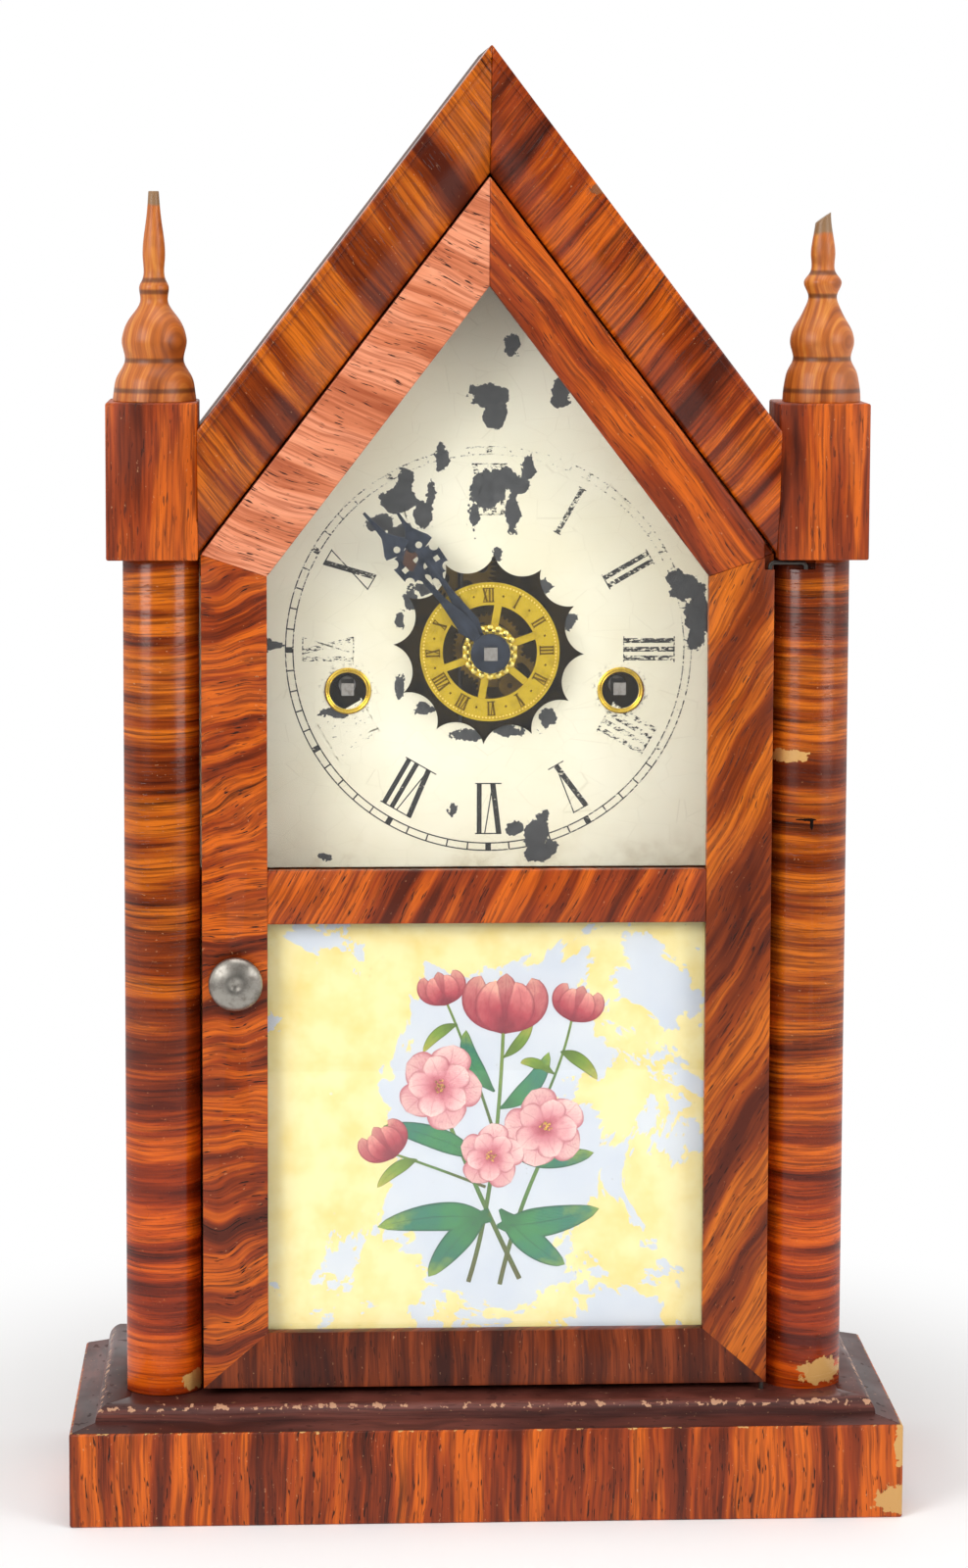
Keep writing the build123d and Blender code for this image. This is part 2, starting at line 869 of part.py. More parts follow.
dial_centre = (dial_x, dial_z)


def scalloped(centre_radius, depth, points, turn):
    """An opening with sharp points and rounded bays between them, as a sketch outline."""
    step = 2 * pi / points
    with BuildLine() as rim:
        for i in range(points):
            angle = turn + i * step
            ThreePointArc(polar((0, 0), centre_radius, angle),
                          polar((0, 0), centre_radius - depth, angle + step / 2),
                          polar((0, 0), centre_radius, angle + step))
    return rim.line


with BuildPart() as dial_plate:
    slab(house(dial_half_width, dial_bottom, dial_apex_z), dial_front_y, dial_back_y)
    with BuildSketch(front(dial_x, dial_z, dial_back_y)) as aperture:
        make_face(scalloped(aperture_radius, scallop_depth, aperture_scallops, aperture_turn))
    extrude(aperture.sketch, amount=dial_thickness, mode=Mode.SUBTRACT)
    for side in (1, -1):
        disc(side * winding_x, winding_z, dial_front_y, dial_back_y, grommet_inner, mode=Mode.SUBTRACT)
save(dial_plate, "dial_plate")

with BuildPart() as dial_grommets:
    for side in (1, -1):
        disc(side * winding_x, winding_z, dial_front_y - grommet_thickness, dial_front_y, grommet_outer)
        disc(side * winding_x, winding_z, dial_front_y - grommet_thickness, dial_front_y,
             grommet_inner, mode=Mode.SUBTRACT)
save(dial_grommets, "dial_grommets")

with BuildPart() as dial_strips:
    for side in (1, -1):
        brick(sorted((side * (case_inner_x - dial_strip_width), side * case_inner_x)),
              (dial_back_y, dial_back_y + dial_strip_depth), (dial_bottom, dial_bottom + dial_strip_height))
save(dial_strips, "dial_strips")

# Hands


def hand_outline(length, head):
    """The outline of a cross-headed hand pointing along X, this long, its cross centred at head."""
    near = head - head_half
    far = head + head_half
    half_width = list(hand_stem)
    half_width += [(near + along, half) for along, half in hand_waist]
    half_width += [(near, head_half), (far, head_half)]
    half_width += [(far + along, half) for along, half in hand_spade]
    half_width += [(length + along, half) for along, half in hand_tip]
    return half_width + [(along, -half) for along, half in reversed(half_width)]


def hand(length, head, turn, y_front, hub_radius, hub_front, bore):
    """A pierced hand pointing clockwise from noon, with its round hub."""
    angle = radians(turn)
    blade = Plane(origin=(dial_x, y_front + hand_thickness, dial_z), x_dir=(sin(angle), 0, cos(angle)),
                  z_dir=(0, -1, 0))
    with BuildPart() as pointer:
        with BuildSketch(blade) as shape:
            with BuildLine():
                Polyline(*hand_outline(length, head), close=True)
            make_face()
            with Locations((head, 0)):
                with GridLocations(2 * notch_offset, 2 * notch_offset, 2, 2):
                    Circle(notch_radius, mode=Mode.SUBTRACT)
                with GridLocations(0, 2 * window_offset, 1, 2):
                    Rectangle(window_size, window_size, mode=Mode.SUBTRACT)
            with Locations((head + head_half + crescent_offset, 0)):
                Circle(crescent_radius, mode=Mode.SUBTRACT)
        extrude(shape.sketch, amount=hand_thickness)
        disc(dial_x, dial_z, hub_front, y_front + hand_thickness, hub_radius)
        with BuildSketch(front(dial_x, dial_z, y_front + hand_thickness)) as hole:
            add(bore)
        extrude(hole.sketch, amount=y_front + hand_thickness - hub_front, mode=Mode.SUBTRACT)
    return pointer


square_bore = Rectangle(cannon_square + 2 * glue_play, cannon_square + 2 * glue_play, mode=Mode.PRIVATE)
round_bore = Circle(hour_pipe_radius + glue_play, mode=Mode.PRIVATE)
minute_hand = hand(minute_hand_length, minute_head, minute_hand_angle, minute_hand_y,
                   minute_collet_radius, minute_hand_y - collet_rise, square_bore)
save(minute_hand, "minute_hand")
hour_hand = hand(hour_hand_length, hour_head, hour_hand_angle, hour_hand_y,
                 hour_collet_radius, hour_hand_y, round_bore)
save(hour_hand, "hour_hand")

with BuildPart() as alarm_disc:
    disc_back_y = alarm_disc_y + alarm_disc_thickness
    with BuildSketch(front(dial_x, dial_z, disc_back_y)) as web:
        Circle(alarm_disc_radius)
        Circle(alarm_ring_inner, mode=Mode.SUBTRACT)
        with PolarLocations(0, alarm_spokes, start_angle=90 - alarm_spoke_turn):
            Rectangle(alarm_ring_inner + alarm_rim, alarm_spoke_width, align=(Align.MIN, Align.CENTER))
    extrude(web.sketch, amount=alarm_disc_thickness)
    with BuildSketch(front(dial_x, dial_z, alarm_disc_y)) as rims:
        for radius in (alarm_disc_radius, alarm_ring_inner + alarm_rim):
            with BuildSketch(Plane.XY) as rim:
                Circle(radius)
                Circle(radius - alarm_rim, mode=Mode.SUBTRACT)
    extrude(rims.sketch, amount=alarm_rim_rise)
    disc(dial_x, dial_z, alarm_disc_y - alarm_boss_front, alarm_disc_y + alarm_boss_back, alarm_boss_radius)
    disc(dial_x, dial_z, alarm_disc_y - alarm_boss_front, alarm_disc_y + alarm_boss_back,
         hour_pipe_radius + pivot_play, mode=Mode.SUBTRACT)
save(alarm_disc, "alarm_disc")

# Where the arbors stand, seen from the front

great_reach = great_module * (great_teeth + second_leaves) / 2
second_reach = second_module * (second_teeth + centre_leaves) / 2
centre_reach = centre_module * (centre_teeth + third_leaves) / 2
third_reach = third_module * (third_teeth + escape_leaves) / 2
warning_reach = warning_module * (warning_teeth + fly_leaves) / 2
motion_reach = cannon_module * (cannon_leaves + minute_wheel_teeth) / 2

time_great_at = (winding_x, winding_z)
second_at = meet(dial_centre, second_reach, time_great_at, great_reach, -1)
escape_at = (pendulum_x, escape_z)
third_at = meet(dial_centre, centre_reach, escape_at, third_reach, -1)
minute_wheel_at = polar(dial_centre, motion_reach, minute_wheel_direction)
strike_great_at = (-winding_x, winding_z)
strike_second_at = polar(strike_great_at, great_reach, strike_second_direction)
warning_at = polar(strike_second_at, second_reach, warning_direction)
fly_at = polar(warning_at, warning_reach, fly_direction)
hammer_at = (hammer_x, hammer_z)
verge_at = (pendulum_x, pendulum_top)

# How far behind the front plate each wheel stands
great_y = plate_back_y + great_wheel_setback
second_wheel_y = rear_plate_y - second_wheel_setback
centre_wheel_y = rear_plate_y - centre_wheel_setback
third_wheel_y = rear_plate_y - third_wheel_setback
spring_y = great_y + great_thickness + spring_setback


def toothed(at, y, teeth, module, turn):
    """A wheel's toothed outline, with one tooth pointing along turn."""
    pitch = pi * module
    radius = teeth * module / 2
    root = radius - trundle_share * pitch - tooth_foot * module
    tip = radius + tooth_rise * module
    points = []
    for i in range(teeth):
        middle = turn + 2 * pi * i / teeth
        for reach, half in ((root, -tooth_root), (tip, -tooth_tip), (tip, tooth_tip), (root, tooth_root)):
            points.append(polar((0, 0), reach, middle + half * pitch / radius))
    with BuildSketch(front(*at, y)) as outline:
        with BuildLine():
            Polyline(*points, close=True)
        make_face()
    return outline.sketch


def wheel_rim(teeth, module):
    """The inner radius of a wheel's rim."""
    return teeth * module / 2 - rim_modules * module - rim_thickness


def wheel(at, y, thickness, teeth, module, turn, hub, spokes):
    """A spoked toothed wheel, its front face at y, added to the piece being made."""
    back = y + thickness
    rim = wheel_rim(teeth, module)
    extrude(toothed(at, back, teeth, module, turn), amount=thickness)
    with BuildSketch(front(*at, back)) as windows:
        Circle(rim)
        Circle(hub, mode=Mode.SUBTRACT)
        with PolarLocations(0, spokes):
            Rectangle(2 * rim, spoke_width, align=(Align.MIN, Align.CENTER), mode=Mode.SUBTRACT)
    extrude(windows.sketch, amount=thickness, mode=Mode.SUBTRACT)


def lantern(at, y, thickness, leaves, module, turn):
    """A lantern pinion round a wheel of this thickness at y, its gap facing along turn."""
    radius = leaves * module / 2
    trundle = trundle_share * pi * module
    low = y - trundle_overhang
    high = y + thickness + trundle_overhang
    with BuildSketch(front(*at, high + collet_thickness / 2)) as rods:
        with PolarLocations(radius, leaves, start_angle=degrees(turn + pi / leaves)):
            Circle(trundle)
    extrude(rods.sketch, amount=high - low + collet_thickness)
    for face in (low - collet_thickness, high):
        disc(*at, face, face + collet_thickness, radius + trundle + collet_margin)


def arbor(at, y_front, y_back, radius):
    """A plain arbor between the plates, with a pivot in each."""
    disc(*at, y_front + end_shake, y_back - end_shake, radius)
    disc(*at, plate_front_y, rear_plate_back_y, pivot_radius)


# Motion work behind the dial

hour_wheel_y = dial_back_y + hour_wheel_setback
minute_wheel_y = hour_wheel_y + minute_wheel_setback
minute_to_centre = heading(minute_wheel_at, dial_centre)
centre_to_minute = heading(dial_centre, minute_wheel_at)
cannon_front_y = minute_hand_y - cannon_nose

with BuildPart() as cannon_pinion:
    shoulder_y = minute_hand_y + hand_thickness
    disc(*dial_centre, shoulder_y, minute_wheel_y + cannon_tail, cannon_radius)
    with BuildSketch(front(*dial_centre, shoulder_y)) as square:
        Rectangle(cannon_square, cannon_square)
    extrude(square.sketch, amount=shoulder_y - cannon_front_y)
    lantern(dial_centre, minute_wheel_y, wheel_thickness, cannon_leaves, cannon_module, centre_to_minute)
    disc(*dial_centre, shoulder_y, minute_wheel_y + cannon_tail, centre_arbor_radius + pivot_play,
         mode=Mode.SUBTRACT)
save(cannon_pinion, "cannon_pinion")

with BuildPart() as minute_wheel:
    disc(*minute_wheel_at, hour_wheel_y - minute_tube_front, minute_wheel_y + minute_tube_back,
         minute_tube_radius)
    wheel(minute_wheel_at, minute_wheel_y, wheel_thickness, minute_wheel_teeth, cannon_module,
          minute_to_centre, minute_tube_radius + minute_hub, 4)
    lantern(minute_wheel_at, hour_wheel_y, wheel_thickness, minute_wheel_leaves, hour_module,
            minute_to_centre)
    disc(*minute_wheel_at, hour_wheel_y - minute_tube_front - cut_margin,
         minute_wheel_y + minute_tube_back, minute_post_radius + pivot_play, mode=Mode.SUBTRACT)
save(minute_wheel, "minute_wheel")

with BuildPart() as hour_wheel:
    disc(*dial_centre, hour_hand_y - hour_pipe_end, hour_wheel_y, hour_pipe_radius)
    wheel(dial_centre, hour_wheel_y, wheel_thickness, hour_teeth, hour_module, centre_to_minute,
          hour_pipe_radius + hour_hub, 4)
    disc(*dial_centre, hour_hand_y - hour_pipe_end, hour_wheel_y + wheel_thickness,
         cannon_radius + pivot_play, mode=Mode.SUBTRACT)
save(hour_wheel, "hour_wheel")

# Going train


def great_wheel(at, mesh_angle):
    """A great wheel loose on its winding arbor, with its click."""
    click_angle = mesh_angle + pi
    reach = ratchet_radius + click_gap
    y_click = great_y + great_thickness
    with BuildPart() as driver:
        wheel(at, great_y, great_thickness, great_teeth, great_module, mesh_angle, great_hub, 5)
        disc(*at, great_y, great_y + great_thickness, winding_arbor_radius + pivot_play,
             mode=Mode.SUBTRACT)
        rim = wheel_rim(great_teeth, great_module)
        with BuildSketch(front(*at, y_click + ratchet_thickness)) as click:
            with Locations(Rot(0, 0, degrees(click_angle)) * Pos(reach, 0, 0)):
                Rectangle(rim + click_foot - reach, click_width, align=(Align.MIN, Align.CENTER))
        extrude(click.sketch, amount=ratchet_thickness)
        with BuildSketch(front(*at, y_click)) as seat:
            with Locations(Rot(0, 0, degrees(click_angle)) * Pos(reach, 0, 0)):
                Rectangle(rim + click_foot - reach, click_width, align=(Align.MIN, Align.CENTER))
        extrude(seat.sketch, amount=great_thickness)
    return driver


def winding_arbor(at):
    """A winding arbor with its ratchet behind the great wheel and a square for the key."""
    ratchet_y = great_y + great_thickness + ratchet_gap
    with BuildPart() as winder:
        disc(*at, square_back_y, rear_plate_y - end_shake, winding_arbor_radius)
        disc(*at, rear_plate_y - end_shake, rear_plate_back_y, winding_pivot_radius)
        with BuildSketch(front(*at, square_back_y)) as square:
            Rectangle(winding_square, winding_square)
        extrude(square.sketch, amount=square_back_y - winding_tip_y)
        points = []
        for i in range(ratchet_teeth):
            angle = 2 * pi * i / ratchet_teeth
            points.append(polar((0, 0), ratchet_radius, angle))
            points.append(polar((0, 0), ratchet_radius - ratchet_depth, angle + ratchet_slope))
        with BuildSketch(front(*at, ratchet_y + ratchet_thickness - ratchet_gap)) as saw:
            with BuildLine():
                Polyline(*points, close=True)
            make_face()
        extrude(saw.sketch, amount=ratchet_thickness - ratchet_gap)
    return winder


def mainspring(at, post):
    """A coiled ribbon round a winding arbor, its tail hooked on a pillar."""
    side = 1 if post[0] > at[0] else -1
    with BuildSketch(front(*at, spring_y + spring_width)) as ribbon:
        with BuildLine() as coil:
            for i in range(2 * spring_turns):
                radius = spring_first + i * spring_pitch / 2
                centre = (side * (spring_pitch / 2 if i % 2 else 0), 0)
                start = side * (1 if i % 2 == 0 else -1)
                ThreePointArc((centre[0] + start * radius, centre[1]),
                              (centre[0], centre[1] - start * side * radius),
                              (centre[0] - start * radius, centre[1]))
            hook_x = post[0] - at[0] - side * (pillar_radius + spring_hook_gap + spring_ribbon / 2)
            Line((side * (spring_first + spring_turns * spring_pitch), 0), (hook_x, post[1] - at[1]))
        trace(coil.line, line_width=spring_ribbon)
    extrude(ribbon.sketch, amount=spring_width)


time_great_wheel = great_wheel(time_great_at, heading(time_great_at, second_at))
save(time_great_wheel, "time_great_wheel")
time_winding_arbor = winding_arbor(time_great_at)
save(time_winding_arbor, "time_winding_arbor")
strike_great_wheel = great_wheel(strike_great_at, heading(strike_great_at, strike_second_at))
save(strike_great_wheel, "strike_great_wheel")
strike_winding_arbor = winding_arbor(strike_great_at)
save(strike_winding_arbor, "strike_winding_arbor")

with BuildPart() as mainsprings:
    mainspring(time_great_at, pillar_low)
    mainspring(strike_great_at, (-pillar_low[0], pillar_low[1]))
save(mainsprings, "mainsprings")

with BuildPart() as second_wheel:
    arbor(second_at, plate_back_y, rear_plate_y, train_arbor_radius)
    lantern(second_at, great_y, great_thickness, second_leaves, great_module,
            heading(second_at, time_great_at))
    wheel(second_at, second_wheel_y, wheel_thickness, second_teeth, second_module,
          heading(second_at, dial_centre), wheel_hub, 4)
save(second_wheel, "second_wheel")

with BuildPart() as centre_wheel:
    disc(*dial_centre, minute_hand_y + centre_arbor_setback, rear_plate_y - end_shake,
         centre_arbor_radius)
    disc(*dial_centre, rear_plate_y - end_shake, rear_plate_back_y, pivot_radius)
    lantern(dial_centre, second_wheel_y, wheel_thickness, centre_leaves, second_module,
            heading(dial_centre, second_at))
    wheel(dial_centre, centre_wheel_y, wheel_thickness, centre_teeth, centre_module,
          heading(dial_centre, third_at), wheel_hub, 4)
save(centre_wheel, "centre_wheel")

with BuildPart() as third_wheel:
    arbor(third_at, plate_back_y, rear_plate_y, train_arbor_radius)
    lantern(third_at, centre_wheel_y, wheel_thickness, third_leaves, centre_module,
            heading(third_at, dial_centre))
    wheel(third_at, third_wheel_y, wheel_thickness, third_teeth, third_module,
          heading(third_at, escape_at), wheel_hub, 4)
save(third_wheel, "third_wheel")

with BuildPart() as escape_wheel:
    disc(*escape_at, escape_y - escape_boss, rear_plate_y - end_shake, escape_arbor_radius)
    disc(*escape_at, rear_plate_y - end_shake, rear_plate_back_y, pivot_radius)
    lantern(escape_at, third_wheel_y, wheel_thickness, escape_leaves, third_module,
            heading(escape_at, third_at))
    points = []
    for i in range(escape_teeth):
        angle = 2 * pi * i / escape_teeth
        points.append(polar((0, 0), escape_radius, angle))
        points.append(polar((0, 0), escape_radius - escape_tooth, angle + escape_slope))
        points.append(polar((0, 0), escape_radius - escape_tooth,
                            angle + escape_land * pi / escape_teeth))
    with BuildSketch(front(*escape_at, escape_y + escape_thickness)) as crown:
        with BuildLine():
            Polyline(*points, close=True)
        make_face()
        web_middle = (escape_radius - escape_tooth + wheel_hub) / 2
        with PolarLocations(web_middle + escape_hole_shift, escape_holes):
            Circle(web_middle - wheel_hub - escape_hole_margin, mode=Mode.SUBTRACT)
    extrude(crown.sketch, amount=escape_thickness)
save(escape_wheel, "escape_wheel")

# Pallets, crutch and pendulum, all on one line through the verge

pallet_reach = escape_radius + pallet_gap
tip = (pallet_reach * sin(pallet_angle), pallet_reach * cos(pallet_angle))
with BuildPart() as verge:
    arm_end = (tip[0] + pallet_length, tip[1] + pallet_rise)
    arm_top = pendulum_top - escape_z + verge_top_rise
    arm_foot = pendulum_top - escape_z - verge_foot_drop
    chevron = [
        (-tip[0], tip[1]), (-arm_end[0], arm_end[1]), (-verge_top_half, arm_top),
        (verge_top_half, arm_top), arm_end, tip, (verge_foot_half, arm_foot),
        (-verge_foot_half, arm_foot),
    ]
    slab([(pendulum_x + x, escape_z + z) for x, z in chevron], escape_y, escape_y + escape_thickness)
    disc(*verge_at, crutch_y, escape_y + verge_tube_back, verge_tube_radius)
    crutch_half = pendulum_rod + crutch_play + 2 * crutch_pin
    brick((pendulum_x - crutch_half_width, pendulum_x + crutch_half_width),
          (crutch_y, crutch_y + crutch_thickness), (crutch_z, pendulum_top))
    brick((pendulum_x - crutch_half, pendulum_x + crutch_half), (crutch_y, crutch_y + crutch_thickness),
          (crutch_z - crutch_fork, crutch_z + crutch_fork))
    for side in (1, -1):
        disc(pendulum_x + side * (pendulum_rod + crutch_play + crutch_pin), crutch_z,
             pendulum_y - crutch_fork, crutch_y + crutch_thickness, crutch_pin)
    disc(*verge_at, crutch_y, escape_y + verge_tube_back, verge_post_radius + pivot_play,
         mode=Mode.SUBTRACT)
save(verge, "verge")

bob_z = pendulum_top - pendulum_length
bob_middle = (bob_radius * bob_shoulder[0], bob_half_depth * bob_shoulder[1])
with BuildPart() as pendulum_rod_piece:
    with Locations((pendulum_x, pendulum_y, bob_z - bob_radius - rod_tail)):
        Cylinder(pendulum_rod, pendulum_top - strip_length - bob_z + bob_radius + rod_tail,
                 align=(Align.CENTER, Align.CENTER, Align.MIN))
    with Locations((pendulum_x, pendulum_y, bob_z - bob_radius - nut_height)):
        Cylinder(nut_radius, nut_height, align=(Align.CENTER, Align.CENTER, Align.MIN))
    brick((pendulum_x - strip_thickness / 2, pendulum_x + strip_thickness / 2),
          (pendulum_y - strip_width / 2, pendulum_y + strip_width / 2),
          (pendulum_top - strip_length - strip_tail, pendulum_top + strip_top))
save(pendulum_rod_piece, "pendulum_rod")

with BuildPart() as pendulum_bob:
    with BuildSketch(Plane(origin=(pendulum_x, pendulum_y, bob_z), x_dir=(1, 0, 0), z_dir=(0, 0, 1))):
        with BuildLine():
            Polyline((bob_flat, bob_half_depth), (0, bob_half_depth), (0, -bob_half_depth),
                     (bob_flat, -bob_half_depth))
            ThreePointArc((bob_flat, -bob_half_depth), (bob_middle[0], -bob_middle[1]),
                          (bob_radius, -bob_edge))
            Line((bob_radius, -bob_edge), (bob_radius, bob_edge))
            ThreePointArc((bob_radius, bob_edge), bob_middle,
                          (bob_flat, bob_half_depth))
        make_face()
    revolve(axis=Axis((pendulum_x, 0, bob_z), (0, 1, 0)))
    with Locations((pendulum_x, pendulum_y, bob_z)):
        Cylinder(pendulum_rod + glue_play, 3 * bob_radius, mode=Mode.SUBTRACT)
save(pendulum_bob, "pendulum_bob")

# Strike train

with BuildPart() as strike_second_wheel:
    arbor(strike_second_at, plate_back_y, rear_plate_y, train_arbor_radius)
    lantern(strike_second_at, great_y, great_thickness, second_leaves, great_module,
            heading(strike_second_at, strike_great_at))
    wheel(strike_second_at, second_wheel_y, wheel_thickness, second_teeth, second_module,
          heading(strike_second_at, warning_at), wheel_hub, 4)
    with BuildSketch(front(*strike_second_at, second_wheel_y + wheel_thickness)) as lifting_pins:
        with PolarLocations(lift_pin_circle, lift_pins, start_angle=30):
            Circle(lift_pin_radius)
    extrude(lifting_pins.sketch, amount=wheel_thickness + lift_pin_length)
save(strike_second_wheel, "strike_second_wheel")

with BuildPart() as warning_wheel:
    arbor(warning_at, plate_back_y, rear_plate_y, train_arbor_radius)
    lantern(warning_at, second_wheel_y, wheel_thickness, warning_leaves, second_module,
            heading(warning_at, strike_second_at))
    wheel(warning_at, centre_wheel_y, wheel_thickness, warning_teeth, warning_module,
          heading(warning_at, fly_at), wheel_hub, 4)
save(warning_wheel, "warning_wheel")

with BuildPart() as fly:
    arbor(fly_at, plate_back_y, rear_plate_y, train_arbor_radius)
    lantern(fly_at, centre_wheel_y, wheel_thickness, fly_leaves, warning_module,
            heading(fly_at, warning_at))
    brick((fly_at[0] - fly_radius, fly_at[0] + fly_radius),
          (plate_back_y + fly_front, centre_wheel_y - fly_back),
          (fly_at[1] - fly_half_thickness, fly_at[1] + fly_half_thickness))
save(fly, "fly")

with BuildPart() as hammer:
    arbor(hammer_at, plate_back_y, rear_plate_y, train_arbor_radius)
    to_wheel = heading(hammer_at, strike_second_at)
    tail_length = dist(hammer_at, strike_second_at) - lift_pin_circle - lift_pin_radius - tail_gap
    tail_plane = Plane(origin=(hammer_x, tail_y + tail_thickness, hammer_z),
                       x_dir=(cos(to_wheel), 0, sin(to_wheel)), z_dir=(0, -1, 0))
    with BuildSketch(tail_plane) as tail:
        Circle(tail_width)
        Rectangle(tail_length, tail_width, align=(Align.MIN, Align.CENTER))
    extrude(tail.sketch, amount=tail_thickness)
    with Locations((hammer_x, gong_y, gong_z)):
        Cylinder(hammer_wire, hammer_z - gong_z, align=(Align.CENTER, Align.CENTER, Align.MIN))
    disc(*hammer_at, gong_y - 2 * hammer_wire, rear_plate_y - end_shake, hammer_boss)
    with Locations(Pos(hammer_x, gong_y, gong_z) * Rot(0, 90, 0)):
        Cylinder(hammer_head_radius, hammer_head_length)
save(hammer, "hammer")

# The gong's coil and its foot on the backboard

gong_left = gong_first + (gong_turns - 1) * gong_pitch
gong_x = hammer_x + hammer_head_length / 2 + hammer_gap + gong_wire + gong_left
gong_plane = front(gong_x, gong_z, gong_y)
with BuildPart() as gong_coil:
    with BuildLine(gong_plane) as coil:
        Line((gong_first, -2 * gong_wire), (gong_first, 0))
        for i in range(2 * gong_turns):
            radius = gong_first + i * gong_pitch / 2
            centre = gong_pitch / 2 if i % 2 else 0
            start = 1 if i % 2 == 0 else -1
            ThreePointArc((centre + start * radius, 0), (centre, start * radius),
                          (centre - start * radius, 0))
        outer_x = gong_first + gong_turns * gong_pitch
        Line((outer_x, 0), (outer_x, 2 * gong_wire))
    gong_path = coil.wires()[0]
    with BuildSketch(Plane(origin=gong_path @ 0, z_dir=gong_path % 0)):
        Circle(gong_wire)
    sweep(path=gong_path)
save(gong_coil, "gong_coil")

gong_samples = 800
gong_points = [tuple(gong_path @ (i / gong_samples)) for i in range(gong_samples + 1)]
skip = int(8 * gong_wire / gong_path.length * gong_samples) + 1
gong_clear = min(
    dist(here, there) for i, here in enumerate(gong_points) for there in gong_points[i + skip:]
) - 2 * gong_wire
print(f"gong coil: {gong_turns} turns, least gap between turns {gong_clear:.2f} mm")

with BuildPart() as gong_base:
    brick((gong_x + gong_first - gong_clamp + gong_clamp_edge, gong_x + gong_first + gong_clamp_edge),
          (gong_y - gong_clamp_depth / 2, case_back_y - gong_foot_thickness),
          (gong_z - 2 * gong_wire - gong_clamp_height, gong_z - 2 * gong_wire))
    disc(gong_x + gong_first + gong_clamp_edge - gong_clamp / 2, gong_z - 2 * gong_wire
         - gong_clamp_height / 2, case_back_y - gong_foot_thickness, case_back_y, gong_foot_radius)
save(gong_base, "gong_base")

# Movement plates and pillars

rear_pivots = [second_at, dial_centre, third_at, escape_at, strike_second_at, warning_at, fly_at, hammer_at]
front_pivots = [second_at, third_at, strike_second_at, warning_at, fly_at, hammer_at]
pillars = [(side * x, z) for x, z in (pillar_low, pillar_high) for side in (1, -1)]


def movement_plate(y_front, holes):
    """A brass plate with its pivot and pillar holes."""
    with BuildPart() as plate:
        slab(rectangle(plate_half_width, plate_bottom, plate_top), y_front, y_front + plate_thickness)
        fillet(plate.edges().filter_by(Axis.Y), plate_corner)
        for at, radius in holes:
            disc(*at, y_front, y_front + plate_thickness, radius, mode=Mode.SUBTRACT)
        for at in pillars:
            disc(*at, y_front, y_front + plate_thickness, pillar_tenon + glue_play, mode=Mode.SUBTRACT)
    return plate


front_holes = [(at, pivot_radius + pivot_play) for at in front_pivots]
front_holes += [(dial_centre, centre_arbor_radius + pivot_play)]
front_holes += [(escape_at, escape_arbor_radius + pivot_play)]
front_holes += [(at, winding_arbor_radius + pivot_play) for at in (time_great_at, strike_great_at)]
movement_front_plate = movement_plate(plate_front_y, front_holes)
with movement_front_plate:
    # Posts for the minute wheel and the verge, and the pendulum's hanging stud
    stud_bottom = pendulum_top + strip_top + stud_gap
    disc(*minute_wheel_at, hour_wheel_y - minute_post_front, plate_front_y, minute_post_radius)
    disc(*verge_at, crutch_y + verge_post_front, plate_front_y, verge_post_radius)
    brick((pendulum_x - stud_half_width, pendulum_x + stud_half_width),
          (pendulum_y - stud_reach, plate_front_y), (stud_bottom, stud_bottom + stud_height))
save(movement_front_plate, "movement_front_plate")

rear_holes = [(at, pivot_radius + pivot_play) for at in rear_pivots]
rear_holes += [(at, winding_pivot_radius + pivot_play) for at in (time_great_at, strike_great_at)]
movement_back_plate = movement_plate(rear_plate_y, rear_holes)
save(movement_back_plate, "movement_back_plate")

with BuildPart() as movement_pillars:
    for at in pillars:
        disc(*at, plate_back_y, rear_plate_y, pillar_radius)
        disc(*at, plate_front_y - pillar_nose, case_back_y, pillar_tenon)
        disc(*at, rear_plate_back_y, case_back_y, pillar_foot)
save(movement_pillars, "movement_pillars")

# Alarm work low on the right of the backboard

alarm_back_y = alarm_front_y + plate_thickness
alarm_rear_y = alarm_back_y + alarm_plate_gap
with BuildPart() as alarm_works:
    for y in (alarm_front_y, alarm_rear_y):
        slab([(alarm_x + x, alarm_z + z) for x, z in rectangle(alarm_width / 2, -alarm_height / 2,
                                                             alarm_height / 2)], y, y + plate_thickness)
        disc(*alarm_hammer_at, y, y + plate_thickness, pivot_radius + pivot_play, mode=Mode.SUBTRACT)
    for side_x in (1, -1):
        for side_z in (1, -1):
            at = (alarm_x + side_x * (alarm_width / 2 - alarm_post_inset),
                  alarm_z + side_z * (alarm_height / 2 - alarm_post_inset))
            disc(*at, alarm_back_y, alarm_rear_y, alarm_post_radius)
            disc(*at, alarm_rear_y + plate_thickness, case_back_y, alarm_post_radius)
    barrel_at = (alarm_x + alarm_barrel_right, alarm_z - alarm_barrel_drop)
    disc(*barrel_at, alarm_front_y - alarm_arbor_front, alarm_rear_y, alarm_arbor_radius)
    disc(*barrel_at, alarm_back_y + alarm_barrel_play, alarm_rear_y - alarm_barrel_play,
         alarm_barrel_radius)
save(alarm_works, "alarm_works")

